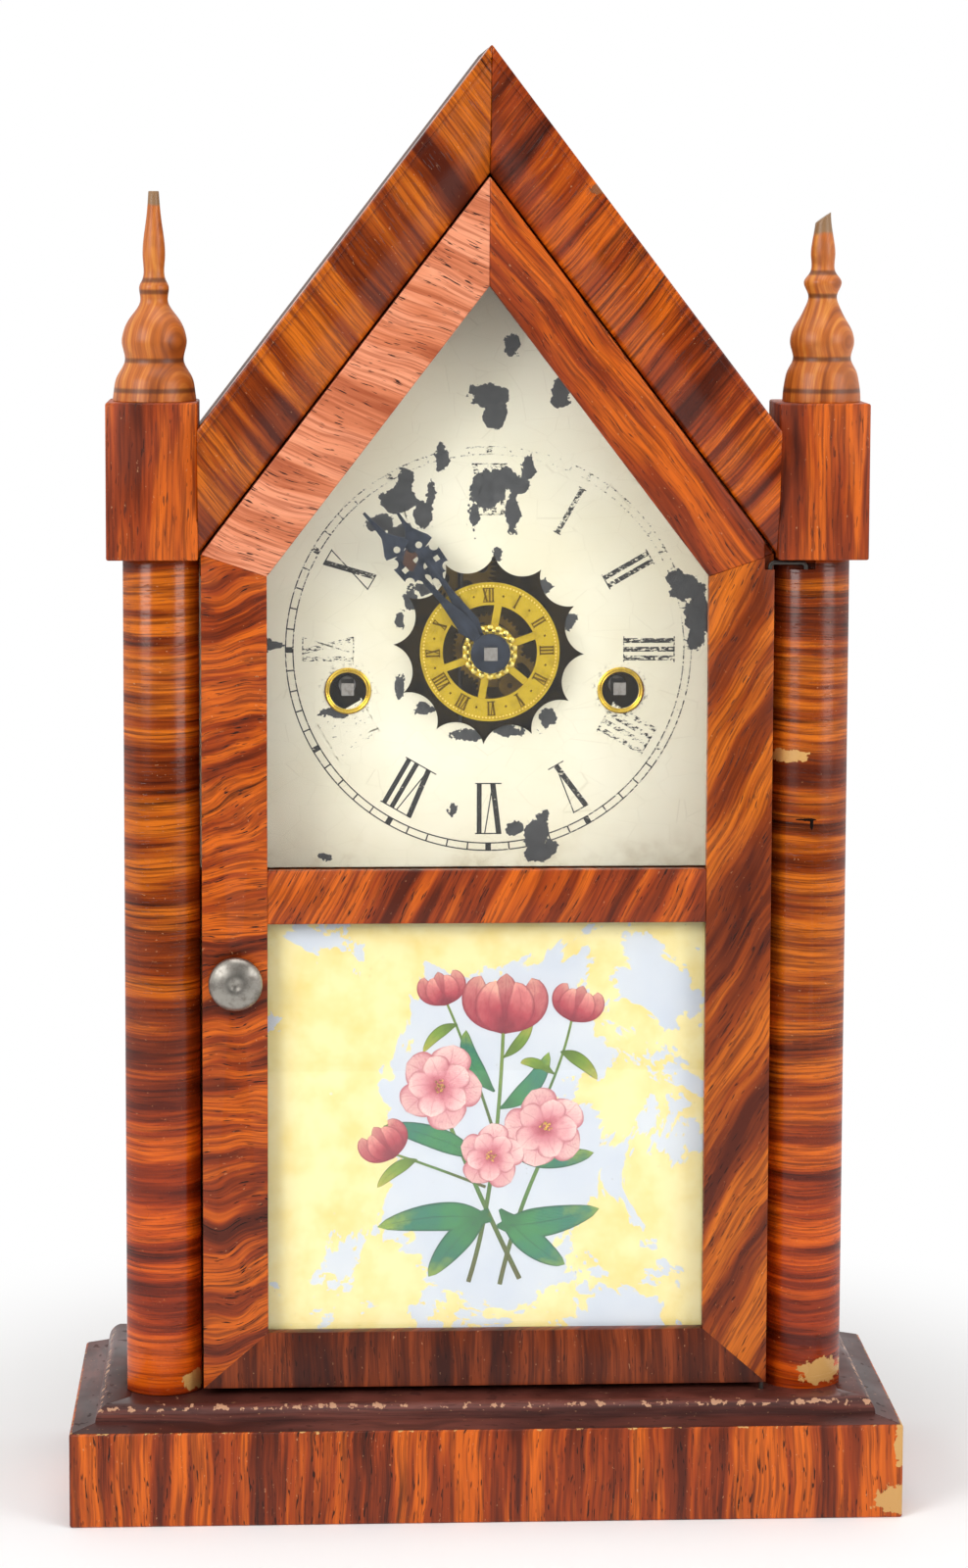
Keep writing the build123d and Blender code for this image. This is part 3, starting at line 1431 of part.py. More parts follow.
hammer_head_x = alarm_x - bell_radius - alarm_hammer_gap - alarm_hammer_head
hammer_wire_y = (alarm_back_y + alarm_rear_y) / 2 + alarm_hammer_setback
alarm_hammer_top = (hammer_head_x, bell_z)
alarm_hammer_turn = heading(alarm_hammer_at, alarm_hammer_top)
with BuildPart() as alarm_hammer:
    disc(*alarm_hammer_at, alarm_back_y + end_shake, alarm_rear_y - end_shake, train_arbor_radius)
    disc(*alarm_hammer_at, alarm_front_y, alarm_rear_y + plate_thickness, pivot_radius)
    disc(*alarm_hammer_at, hammer_wire_y - alarm_hammer_boss_half,
         hammer_wire_y + alarm_hammer_boss_half, alarm_hammer_boss)
    wire_plane = Plane(origin=(alarm_hammer_at[0], hammer_wire_y, alarm_hammer_at[1]),
                       z_dir=(cos(alarm_hammer_turn), 0, sin(alarm_hammer_turn)))
    with BuildSketch(wire_plane) as wire:
        Circle(hammer_wire)
    extrude(wire.sketch, amount=dist(alarm_hammer_at, alarm_hammer_top))
    disc(*alarm_hammer_top, hammer_wire_y - alarm_hammer_head, hammer_wire_y + alarm_hammer_head,
         alarm_hammer_head)
save(alarm_hammer, "alarm_hammer")

with BuildPart() as alarm_bell:
    with BuildSketch(Plane(origin=(alarm_x, 0, bell_z), x_dir=(1, 0, 0), z_dir=(0, 0, 1))):
        crown = bell_front_y
        mouth = bell_front_y + bell_depth
        inner = bell_radius - bell_wall
        with BuildLine():
            Line((bell_post_radius, crown), (bell_radius / 2, crown))
            ThreePointArc((bell_radius / 2, crown),
                          (bell_radius * bell_shoulder[0], crown + bell_depth * bell_shoulder[1]),
                          (bell_radius, mouth))
            Line((bell_radius, mouth), (inner, mouth))
            ThreePointArc((inner, mouth),
                          (inner * bell_inner_shoulder[0],
                           crown + bell_wall + bell_depth * bell_inner_shoulder[1]),
                          (bell_radius / 2, crown + bell_wall))
            Line((bell_radius / 2, crown + bell_wall), (bell_post_radius, crown + bell_wall))
            Line((bell_post_radius, crown + bell_wall), (bell_post_radius, crown))
        make_face()
    revolve(axis=Axis((alarm_x, 0, bell_z), (0, 1, 0)))
    disc(alarm_x, bell_z, crown - bell_cap_height, case_back_y, bell_post_radius)
    disc(alarm_x, bell_z, crown - bell_cap_height, crown, bell_cap * bell_post_radius)
save(alarm_bell, "alarm_bell")
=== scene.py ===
# %% [markdown]
# # A steeple clock, dressed
#
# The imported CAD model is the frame: a gabled wooden case, a glazed door and a
# clock movement. This notebook gives it its looks in Blender. Each step says
# what the piece is on the real clock and how it is made here.

# %% Load the frame
import json
import random
from math import atan2, cos, pi, radians, sin

import bmesh
import bpy
from mathutils import Matrix, Vector


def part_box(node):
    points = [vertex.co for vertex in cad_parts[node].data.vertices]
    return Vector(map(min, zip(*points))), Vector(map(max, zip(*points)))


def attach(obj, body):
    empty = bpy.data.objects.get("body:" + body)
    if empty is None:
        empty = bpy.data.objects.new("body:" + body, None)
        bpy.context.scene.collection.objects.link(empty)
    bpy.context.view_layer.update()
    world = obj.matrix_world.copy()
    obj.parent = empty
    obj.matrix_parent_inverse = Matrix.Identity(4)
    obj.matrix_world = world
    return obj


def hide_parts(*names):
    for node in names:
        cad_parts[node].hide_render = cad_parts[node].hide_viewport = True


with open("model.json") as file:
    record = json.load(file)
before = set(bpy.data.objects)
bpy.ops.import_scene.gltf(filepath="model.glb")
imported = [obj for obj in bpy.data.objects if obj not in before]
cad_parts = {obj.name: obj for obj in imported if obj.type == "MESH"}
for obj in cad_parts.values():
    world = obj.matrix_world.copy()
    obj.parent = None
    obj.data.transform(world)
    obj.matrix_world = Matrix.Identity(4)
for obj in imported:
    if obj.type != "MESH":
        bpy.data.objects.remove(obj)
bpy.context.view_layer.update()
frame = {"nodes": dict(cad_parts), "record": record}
scene = bpy.context.scene
MM = 0.001

# %% [markdown]
# ## Camera
#
# The photograph was taken from the left of the clock, from a little below the
# height of its top. The camera repeats that: a long lens, a slight turn, a few
# degrees down, and a vertical shift that keeps the columns nearly upright. Its
# numbers come from a fit to the clock's straight edges and corners.

# %% Camera
PHOTO_H = 1600
FOCAL_PX = 3876.6
CENTRE_PY = 595.7
CAMERA_AT = (-0.0642, -1.3301, 0.4523)
CAMERA_TURN = (2.765, -5.608, 0.202)


def aim(yaw, pitch, roll):
    """The camera's turn: forward along yaw (from +Y towards +X) and pitch, then roll."""
    forward = Vector((sin(yaw) * cos(pitch), cos(yaw) * cos(pitch), sin(pitch)))
    right = Vector((cos(yaw), -sin(yaw), 0))
    up = right.cross(forward)
    right, up = right * cos(roll) + up * sin(roll), up * cos(roll) - right * sin(roll)
    return Matrix((right, up, -forward)).transposed()


lens = bpy.data.cameras.new("photo_camera")
lens.sensor_fit = "VERTICAL"
lens.sensor_height = 36
lens.lens = FOCAL_PX * lens.sensor_height / PHOTO_H
lens.shift_y = (CENTRE_PY - PHOTO_H / 2) / PHOTO_H
camera = bpy.data.objects.new("photo_camera", lens)
scene.collection.objects.link(camera)
camera_turn = aim(*[radians(angle) for angle in CAMERA_TURN])
camera.matrix_world = Matrix.Translation(CAMERA_AT) @ camera_turn.to_4x4()
scene.camera = camera
print("lens", round(lens.lens, 2), "mm, shift", round(lens.shift_y, 4))

# %% [markdown]
# ## Light and backdrop
#
# The clock stands in a white studio sweep. Two large soft lamps light it from
# the front and one from above. The floor and the world look white to the
# camera, to gloss and through glass, while they light the wood only gently.
# Close to the clock the floor is plain white paper, so that it takes the
# clock's shadow. The room behind the camera is dim, so that the flat panes
# don't mirror a white haze.


# %% Floor, world and lamps
def linear(code):
    """A colour written as sRGB hex, turned to the linear values that shaders use."""
    parts = [int(code[i:i + 2], 16) / 255 for i in (1, 3, 5)]
    return tuple(c / 12.92 if c <= 0.04045 else ((c + 0.055) / 1.055) ** 2.4 for c in parts) + (1.0,)


def add(tree, kind, settings=None, **links):
    """Add one node: settings go on the node or its sockets, links come from other sockets."""
    made = tree.nodes.new(kind)
    for key, value in (settings or {}).items():
        if isinstance(key, int) or key in made.inputs:
            made.inputs[key].default_value = value
        else:
            setattr(made, key, value)
    for key, value in links.items():
        numbered = key[0] == "i" and key[1:].isdigit()
        tree.links.new(value, made.inputs[int(key[1:]) if numbered else key])
    return made


def maths(tree, operation, one, two=None, constant=None):
    """A sum of two sockets, or of a socket and a number."""
    made = add(tree, "ShaderNodeMath", {"operation": operation}, i0=one)
    if two is not None:
        tree.links.new(two, made.inputs[1])
    if constant is not None:
        made.inputs[1].default_value = constant
    return made.outputs[0]


def axis(tree, vector, which):
    """One axis of a vector."""
    return add(tree, "ShaderNodeSeparateXYZ", None, i0=vector).outputs[which]


def mixed(tree, share, one, two):
    """Two shaders mixed by a share."""
    return add(tree, "ShaderNodeMixShader", None, i0=share, i1=one, i2=two).outputs[0]


def background(strength):
    """White light from the world."""
    return add(sky, "ShaderNodeBackground", {"Color": linear("#FFFFFF"), "Strength": strength}).outputs[0]


SOFT_LIGHT, FULL_WHITE, DIM_ROOM = 0.55, 1.0, 0.12
scene.view_settings.view_transform = "Standard"
world = bpy.data.worlds.new("studio")
world.use_nodes = True
scene.world = world
sky = world.node_tree
sky.nodes.clear()
path = add(sky, "ShaderNodeLightPath").outputs
seen = maths(sky, "MAXIMUM", path["Is Camera Ray"], path["Is Transmission Ray"])
seen = maths(sky, "MAXIMUM", seen, path["Is Glossy Ray"])
either = mixed(sky, seen, background(SOFT_LIGHT), background(FULL_WHITE))
towards = axis(sky, add(sky, "ShaderNodeTexCoord").outputs["Generated"], 1)
behind = add(sky, "ShaderNodeMapRange", {1: -0.1, 2: -0.6}, Value=towards).outputs[0]
bounced = add(sky, "ShaderNodeMath", {"operation": "SUBTRACT", "use_clamp": True}, i0=path["Is Glossy Ray"],
              i1=path["Is Transmission Ray"]).outputs[0]
studio = mixed(sky, maths(sky, "MULTIPLY", behind, bounced), either, background(DIM_ROOM))
add(sky, "ShaderNodeOutputWorld", None, i0=studio)


def lamp(name, at, target, size, power):
    """A square soft lamp at a place, facing a target."""
    light = bpy.data.lights.new(name, "AREA")
    light.size = size
    light.energy = power
    holder = bpy.data.objects.new(name, light)
    scene.collection.objects.link(holder)
    holder.location = at
    holder.rotation_euler = (Vector(target) - Vector(at)).to_track_quat("-Z", "Y").to_euler()


MIDDLE = (0, 0, 0.25)
for name, at, size, power in (("soft_left", (-1.15, -1.15, 0.95), 0.8, 14),
                              ("soft_right", (1.25, -1.0, 0.75), 0.8, 9.5),
                              ("soft_top", (0.0, -0.3, 1.7), 1.0, 7.5)):
    lamp(name, at, MIDDLE, size, power)

FLOOR_HALF, FLOOR_BACK = 4, 3.3
SHADOW_REACH = (0.16, 0.34)
bm = bmesh.new()
bmesh.ops.create_grid(bm, x_segments=1, y_segments=1, size=FLOOR_HALF)
bmesh.ops.translate(bm, vec=(0, FLOOR_BACK, 0), verts=bm.verts)
floor_mesh = bpy.data.meshes.new("floor")
bm.to_mesh(floor_mesh)
bm.free()
floor = bpy.data.objects.new("floor", floor_mesh)
scene.collection.objects.link(floor)
paper = bpy.data.materials.new("white_paper_sweep")
paper.use_nodes = True
tree = paper.node_tree
shade = tree.nodes["Principled BSDF"]
shade.inputs["Base Color"].default_value = linear("#FAFAFA")
shade.inputs["Roughness"].default_value = 0.9
rays = add(tree, "ShaderNodeLightPath").outputs
reach = add(tree, "ShaderNodeVectorMath", {"operation": "LENGTH"},
            i0=add(tree, "ShaderNodeTexCoord").outputs["Object"]).outputs["Value"]
beyond = add(tree, "ShaderNodeMapRange", {"interpolation_type": "SMOOTHSTEP", 1: SHADOW_REACH[0],
                                          2: SHADOW_REACH[1]}, Value=reach).outputs[0]
shining = maths(tree, "MAXIMUM", maths(tree, "MULTIPLY", rays["Is Camera Ray"], beyond),
                maths(tree, "MAXIMUM", rays["Is Glossy Ray"], rays["Is Transmission Ray"]))
glow = add(tree, "ShaderNodeEmission", {"Color": linear("#FFFFFF"), "Strength": FULL_WHITE})
sweep = mixed(tree, shining, shade.outputs[0], glow.outputs[0])
tree.links.new(sweep, tree.nodes["Material Output"].inputs["Surface"])
floor.data.materials.append(paper)
print("lamps and floor ready")

# %% [markdown]
# ## Veneer
#
# The case is pine, faced with rosewood veneer under old shellac. Rosewood is
# orange-brown with darker bands, black streaks and short open pores. Its cut
# runs one way on each piece, so one material recipe takes the grain's
# direction, its colours and how much it swirls, and reads Object coordinates
# in millimetres. Pores are really about 0.2 mm wide, and are drawn at about
# 0.5 mm so that they show. Upright grain is first turned a little about its
# own axis, so that it runs up the sides of a piece as well as up its front.


# %% The veneer recipe
UPRIGHT = 90
CORNER_TURN = 40


def new_material(name):
    """An empty node material with its Principled shader."""
    made = bpy.data.materials.new(name)
    made.use_nodes = True
    return made, made.node_tree, made.node_tree.nodes["Principled BSDF"]


def millimetres(tree, turn=0.0):
    """Object coordinates in millimetres, turned about Y so that X runs along the grain."""
    spot = add(tree, "ShaderNodeTexCoord").outputs["Object"]
    if turn == UPRIGHT:
        spot = add(tree, "ShaderNodeMapping", {"Rotation": (0, 0, radians(CORNER_TURN))}, i0=spot).outputs[0]
    return add(tree, "ShaderNodeMapping", {"Rotation": (0, radians(turn), 0), "Scale": (1000, 1000, 1000)},
               i0=spot).outputs[0]


def stretch(tree, vector, along, across, seed):
    """The same coordinates with lengths along and across the grain turned into one unit."""
    return add(tree, "ShaderNodeMapping", {"Location": (seed, seed * 0.7, seed * 1.3),
                                           "Scale": (1 / along, 1 / along, 1 / across)}, i0=vector).outputs[0]


def vector_maths(tree, operation, one, constant):
    """A sum of a vector and a constant one."""
    return add(tree, "ShaderNodeVectorMath", {"operation": operation, 1: constant}, i0=one).outputs[0]


def distance(tree, vector, at, reach):
    """How far a vector is from a point, in units of a reach along each axis (None leaves an axis out)."""
    flat = vector_maths(tree, "MULTIPLY", vector_maths(tree, "SUBTRACT", vector, at),
                        [0 if length is None else 1 / length for length in reach])
    return add(tree, "ShaderNodeVectorMath", {"operation": "LENGTH"}, i0=flat).outputs["Value"]


def noise(tree, vector, detail=3.0, rough=0.55, distortion=0.0, scale=1.0):
    """Fractal noise; with the default scale its patches are about one unit of the vector."""
    return add(tree, "ShaderNodeTexNoise", {"Scale": scale, "Detail": detail, "Roughness": rough,
                                            "Distortion": distortion}, Vector=vector).outputs[0]


def ramp(tree, value, stops):
    """A colour ramp from (position, hex) stops."""
    made = add(tree, "ShaderNodeValToRGB", None, i0=value)
    points = made.color_ramp.elements
    while len(points) < len(stops):
        points.new(0.5)
    for point, (at, code) in zip(points, stops):
        point.position = at
        point.color = linear(code)
    return made.outputs[0]


def step(tree, value, low, high, out_low=0.0, out_high=1.0):
    """One output at or below low, the other at or above high, smooth between."""
    return add(tree, "ShaderNodeMapRange", {"interpolation_type": "SMOOTHSTEP", 1: low, 2: high,
                                            3: out_low, 4: out_high}, i0=value).outputs[0]


def uneven(tree, value, amount):
    """A noise between 0 and 1 turned into a shift either side of zero."""
    return maths(tree, "MULTIPLY", maths(tree, "SUBTRACT", value, constant=0.5), constant=amount)


def off_by(tree, value, at):
    """How far a value is from a number."""
    return maths(tree, "ABSOLUTE", maths(tree, "SUBTRACT", value, constant=at))


def blend_colour(tree, share, one, two, how="MIX"):
    """Mix two colours, each a socket or a hex code."""
    made = add(tree, "ShaderNodeMix", {"data_type": "RGBA", "blend_type": how}, i0=share)
    for place, colour in ((6, one), (7, two)):
        if isinstance(colour, str):
            made.inputs[place].default_value = linear(colour)
        else:
            tree.links.new(colour, made.inputs[place])
    return made.outputs[2]


def lay(tree, shade, colour, rough, height=None, strength=0.3, depth=0.0002):
    """Give a shader its colour, its roughness (a number or a socket) and its bump."""
    tree.links.new(colour, shade.inputs["Base Color"])
    if isinstance(rough, float):
        shade.inputs["Roughness"].default_value = rough
    else:
        tree.links.new(rough, shade.inputs["Roughness"])
    if height is not None:
        bump = add(tree, "ShaderNodeBump", {"Strength": strength, "Distance": depth}, Height=height)
        tree.links.new(bump.outputs[0], shade.inputs["Normal"])


def veneer(name, tones, turn, swirl, streaks, pores, band, seed, gloss, length=1.0, wear=None):
    """Shellacked rosewood: tones are four hex codes from light to near black, band a band's width."""
    made, tree, shade = new_material(name)
    place = millimetres(tree, turn)
    wander = add(tree, "ShaderNodeTexNoise", {"Scale": 1 / 55, "Detail": 2.0}, Vector=place).outputs["Color"]
    shift = add(tree, "ShaderNodeVectorMath", {"operation": "SCALE", "Scale": 2 * swirl},
                i0=vector_maths(tree, "SUBTRACT", wander, (0.5, 0.5, 0.5))).outputs[0]
    grain = add(tree, "ShaderNodeVectorMath", {"operation": "ADD"}, i0=place, i1=shift).outputs[0]
    figure = noise(tree, stretch(tree, grain, 150 * length, band, seed), 4.0, 0.6, 0.3)
    colour = ramp(tree, figure, [(0.34, tones[2]), (0.47, tones[1]), (0.58, tones[0]), (0.74, tones[1])])
    fibre = noise(tree, stretch(tree, grain, 28 * length, 0.9, seed + 3), 2.0, 0.6)
    colour = blend_colour(tree, step(tree, fibre, 0.42, 0.66, 0.0, 0.6), colour, tones[2])
    lines = noise(tree, stretch(tree, grain, 90 * length, 1.5, seed + 7), 5.0, 0.7, 0.2)
    gate = noise(tree, stretch(tree, grain, 160 * length, 3.2 * band, seed + 11), 1.0)
    dark = maths(tree, "MULTIPLY", step(tree, lines, 0.70 - 0.22 * streaks, 0.80 - 0.14 * streaks),
                 step(tree, gate, 0.62 - 0.3 * streaks, 0.72))
    colour = blend_colour(tree, maths(tree, "MULTIPLY", dark, constant=0.94), colour, tones[3])
    pit = step(tree, noise(tree, stretch(tree, grain, 5.5, 0.55, seed + 17), 1.0), 0.64, 0.72)
    colour = blend_colour(tree, maths(tree, "MULTIPLY", pit, constant=pores), colour, tones[3])
    scuff = noise(tree, stretch(tree, place, 1.8, 0.7, seed + 23), 2.0)
    colour = blend_colour(tree, step(tree, scuff, 0.70, 0.76, 0.0, 0.4), colour, "#E2A878")
    if wear is not None:
        colour = wear(tree, colour)
    dull = noise(tree, place, 2.0, scale=1 / 22)
    rough = maths(tree, "ADD", step(tree, dull, 0.3, 0.7, gloss - 0.05, gloss + 0.09),
                  maths(tree, "MULTIPLY", pit, constant=0.2))
    relief = maths(tree, "ADD", maths(tree, "MULTIPLY", pit, constant=-1.0),
                   maths(tree, "MULTIPLY", fibre, constant=0.5))
    lay(tree, shade, colour, rough, relief, 0.35, 0.00012)
    shade.inputs["Specular IOR Level"].default_value = 0.32
    return made


# %% [markdown]
# ## Wooden pieces with eased edges
#
# The CAD solids have knife-sharp corners, and old veneer edges are rubbed
# round. Each visible case piece is a merged copy of its CAD node with its
# sharp edges bevelled, which catches a thin line of light.


# %% A helper for eased copies
SMOOTH_BELOW, SHARP_CORNER = radians(35), radians(30)
WELD = 0.005 * MM


def to_object(bm, name, material, body, replaces=(), smooth=True):
    """Finish a bmesh: make the object, give it a material and a body, and hide the nodes it replaces."""
    mesh = bpy.data.meshes.new(name)
    bm.to_mesh(mesh)
    bm.free()
    for face in mesh.polygons:
        face.use_smooth = smooth
    piece = bpy.data.objects.new(name, mesh)
    scene.collection.objects.link(piece)
    if smooth:
        mesh.set_sharp_from_angle(angle=SMOOTH_BELOW)
    mesh.materials.append(material)
    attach(piece, body)
    if replaces:
        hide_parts(*replaces)


body_of_node = {node: body for body, members in frame["record"]["behaviour"]["bodies"].items()
                for node in members}


def eased(node, width, material, segments=2):
    """A copy of a CAD node with its sharp edges bevelled, standing for that node."""
    bm = bmesh.new()
    bm.from_mesh(frame["nodes"][node].data)
    bmesh.ops.remove_doubles(bm, verts=bm.verts, dist=WELD)
    bmesh.ops.dissolve_limit(bm, angle_limit=radians(0.6), verts=bm.verts, edges=bm.edges, delimit={"NORMAL"})
    sharp = [e for e in bm.edges if len(e.link_faces) == 2 and e.calc_face_angle(0) > SHARP_CORNER]
    bmesh.ops.bevel(bm, geom=sharp, offset=width, offset_type="OFFSET", segments=segments, profile=0.5,
                    affect="EDGES", material=-1, clamp_overlap=True)
    to_object(bm, node + "_veneered", material, body_of_node[node], (node,))


# %% [markdown]
# Worn places show pale wood or old glue through the finish. A wear function
# takes the colour so far and lays chips over it where the piece is knocked:
# along an edge, or round a named spot.


# %% Chips and losses
def near(tree, vector, at, reach, rough=2.0, grit=3.0):
    """One inside a ragged spot round a point (x, z), or (x, z, y) near the front, all in millimetres."""
    depth, deep_reach = (at[2], 10) if len(at) == 3 else (0, None)
    far = distance(tree, vector, (at[0], depth, at[1]), (reach[0], deep_reach, reach[1]))
    ragged = noise(tree, vector, 4.0, 0.6, scale=1 / grit)
    return step(tree, maths(tree, "ADD", far, uneven(tree, ragged, rough)), 1.06, 0.94)


def losses(spots, colour="#C99A5B", strips=(), golden=None, cracks=()):
    """A wear function: bare spots, chips along strips (axis, place, width, amount), faded ends and cracks."""
    def wear(tree, base):
        here = millimetres(tree)
        if golden:
            faded = step(tree, axis(tree, here, 2), golden[0], golden[1], 0.0, 0.5)
            base = blend_colour(tree, faded, base, "#E09A4E", "OVERLAY")
        for at, reach in spots:
            base = blend_colour(tree, near(tree, here, at, reach), base, colour)
        for at, reach in cracks:
            base = blend_colour(tree, near(tree, here, at, reach, 1.4, 1.5), base, "#120501")
        for which, at, width, amount in strips:
            inside = step(tree, off_by(tree, axis(tree, here, which), at), width, 0.0)
            chips = noise(tree, here, 3.0, 0.65, scale=1 / 3.2)
            share = step(tree, maths(tree, "ADD", chips, maths(tree, "MULTIPLY", inside, constant=0.34)),
                         1.04 - 0.16 * amount, 1.08 - 0.16 * amount)
            base = blend_colour(tree, share, base, colour)
        return base
    return wear


# %% Veneered case
warm = ["#D26C14", "#933C08", "#521A05", "#120401"]
red = ["#D6640F", "#9A3A0A", "#521A05", "#130401"]
pink = ["#EE9C76", "#D67E56", "#A04A28", "#34120A"]
deep = ["#8A3A12", "#5E2206", "#3A1206", "#120502"]

column_left_wood = veneer("rosewood_column_left", warm, 0, 2.5, 1.0, 0.35, 11, 2.0, 0.24,
                          wear=losses([((-101.5, 44.5), (5.0, 3.0))], golden=(210, 90)))
column_right_wood = veneer("rosewood_column_right", warm, 0, 3.0, 1.05, 0.35, 9, 31.0, 0.24,
                           wear=losses([((104.0, 264.5), (7.5, 2.2)), ((118.0, 46.0), (8.0, 4.5))],
                                       golden=(190, 70),
                                       cracks=[((111.0, 242.5), (3.2, 0.5)), ((112.5, 240.8), (0.6, 2.2))]))
eased("column_left", 0.5 * MM, column_left_wood)
eased("column_right", 0.4 * MM, column_right_wood)
for hand, seed in (("left", 5.0), ("right", 43.0)):
    cut = veneer(f"rosewood_block_{hand}", red, UPRIGHT, 1.5, 0.75, 0.6, 10, seed, 0.42)
    eased(f"block_{hand}", 0.7 * MM, cut)
roof_chip = losses([((36.0, 460.0), (2.6, 2.0))], "#8A5230")
for node, cut in (
        ("roof_moulding_left", veneer("rosewood_roof_left", warm, -52.6, 3.0, 0.85, 0.4, 10, 8.0, 0.25)),
        ("roof_moulding_right", veneer("rosewood_roof_right", red, 52.6, 3.0, 1.1, 0.4, 9, 12.0, 0.25,
                                       wear=roof_chip)),
        ("door_rake_left", veneer("rosewood_rake_left", pink, -22, 9.0, 0.5, 1.0, 12, 17.0, 0.36)),
        ("door_rake_right", veneer("rosewood_rake_right", red, -52, 4.0, 0.55, 0.8, 14, 23.0, 0.36)),
        ("door_stile_left", veneer("rosewood_stile_left", red, 12, 20.0, 0.85, 1.0, 9, 29.0, 0.36, 0.55)),
        ("door_stile_right", veneer("rosewood_stile_right", warm, 60, 7.0, 0.55, 0.8, 13, 37.0, 0.36)),
        ("door_bottom_rail", veneer("rosewood_bottom_rail", deep, UPRIGHT, 3.0, 0.6, 0.6, 8, 41.0, 0.4)),
        ("door_middle_rail", veneer("rosewood_middle_rail", red, 62, 4.0, 0.8, 0.9, 10, 47.0, 0.36))):
    eased(node, 0.5 * MM, cut)
plinth_wood = veneer("rosewood_plinth", red, UPRIGHT, 3.0, 0.95, 0.9, 7, 53.0, 0.42,
                     wear=losses([((142.5, 6.5, -54), (8.0, 5.0)), ((143.5, 27.0, -54), (2.0, 8.0))],
                                 strips=[(2, 33.1, 2.2, 0.8)]))
stained = ["#6E3A30", "#4E2620", "#351813", "#160A09"]
ledge_wood = veneer("stained_base_moulding", stained, 0, 2.0, 0.4, 0.4, 6, 59.0, 0.38,
                    wear=losses([], "#B98B6C", [(2, 38.6, 2.6, 1.15)]))
for part in ("front", "sides"):
    eased(f"plinth_{part}", 0.8 * MM, plinth_wood)
for part in ("front", "sides"):
    eased(f"base_moulding_{part}", 0.4 * MM, ledge_wood)

# %% [markdown]
# ## Bare and turned wood
#
# Behind the veneer the case is plain pine, sawn along its length and darkened
# by age. The two finials are turned from a paler wood under thin shellac,
# darker in the grooves, with raw wood where their tips broke off.


# %% Pine and turned wood
def plain_wood(name, light, dark, turn, seed, gloss=0.8, ring=5.0):
    """Straight-grained wood in two tones; ring is the width of a growth ring in millimetres."""
    made, tree, shade = new_material(name)
    place = millimetres(tree, turn)
    rings = noise(tree, stretch(tree, place, 60 * ring, ring, seed), 4.0, 0.6, 0.4)
    fibre = noise(tree, stretch(tree, place, 20, 0.5, seed + 5), 2.0)
    colour = ramp(tree, rings, [(0.35, dark), (0.62, light)])
    colour = blend_colour(tree, step(tree, fibre, 0.5, 0.75, 0.0, 0.5), colour, dark)
    lay(tree, shade, colour, gloss, fibre, 0.3, 0.00015)
    return made


def turned_wood(name, seed, groove_heights, top):
    """Turned walnut: streaks up the turning, dark grooves at given heights, pale broken tip."""
    made, tree, shade = new_material(name)
    here = millimetres(tree)
    streak = noise(tree, stretch(tree, millimetres(tree, UPRIGHT), 45, 1.8, seed), 4.0, 0.6, 0.3)
    colour = ramp(tree, streak, [(0.3, "#8A4212"), (0.5, "#BC641E"), (0.7, "#DC8E3C")])
    blotch = noise(tree, here, 2.0, scale=1 / 9)
    colour = blend_colour(tree, step(tree, blotch, 0.5, 0.75, 0.0, 0.6), colour, "#9A5526")
    height = axis(tree, here, 2)
    for at in groove_heights:
        # Darker colour in a band of about a millimetre either side of each groove height.
        groove_darkening = step(tree, off_by(tree, height, at), 1.3, 0.3, 0.0, 0.72)
        colour = blend_colour(tree, groove_darkening, colour, "#4A2410")
    ragged = maths(tree, "ADD", height, maths(tree, "MULTIPLY", blotch, constant=6.0))
    tip = step(tree, ragged, top, top + 1.5)
    lay(tree, shade, blend_colour(tree, tip, colour, "#8C6A48"), 0.42, streak)
    return made


def dress(material, *nodes):
    """Give CAD nodes whose shape is right a better material."""
    for node in nodes:
        mesh = frame["nodes"][node].data
        mesh.materials.clear()
        mesh.materials.append(material)


dress(plain_wood("aged_pine_upright", "#A9794A", "#7A5230", UPRIGHT, 3.0, 0.75), "backboard", "case_sides",
      "dial_strips")
dress(plain_wood("aged_pine_floor", "#9A6E42", "#6C4829", 0, 9.0), "case_floor")
dress(plain_wood("dark_roof_board", "#5A3524", "#3A2016", 0, 21.0, 0.6, 4.0), "roof_boards")
for hand, seed, grooves, top in (("left", 4.0, (390.8, 401.0, 424.3, 428.3), 456.5),
                                 ("right", 8.0, (391.0, 401.9, 423.5, 431.5), 447.0)):
    walnut = turned_wood(f"turned_walnut_{hand}", seed, grooves, top)
    eased(f"finial_{hand}", 0.2 * MM, walnut, 1)
print("bare wood done")

# %% [markdown]
# ## Metals
#
# The bright brass of the alarm disc, the grommets and the bell is lacquered
# and lemon-gold. The movement's brass is duller. Wires are dark iron, the
# hands and springs are blued steel, and the knob is worn nickel. A metal's
# colour is its reflection, so each starts from its own tint with metallic at
# one, and a little noise in the roughness breaks the reflection up.


# %% Metal recipes
def metal(name, tint, stain, rough, spread, grain, amount, seed=0.0):
    """A metal with patches of stain; grain is the size of a patch in millimetres."""
    made, tree, shade = new_material(name)
    here = vector_maths(tree, "ADD", millimetres(tree), (seed, seed, seed))
    patch = noise(tree, here, 5.0, 0.6, scale=1 / grain)
    colour = blend_colour(tree, step(tree, patch, 0.42, 0.72, 0.0, amount), tint, stain)
    scratch = noise(tree, here, 2.0, scale=1 / 0.7)
    lay(tree, shade, colour, step(tree, patch, 0.3, 0.7, rough, rough + spread), scratch, 0.12, 0.00005)
    shade.inputs["Metallic"].default_value = 1.0
    return made


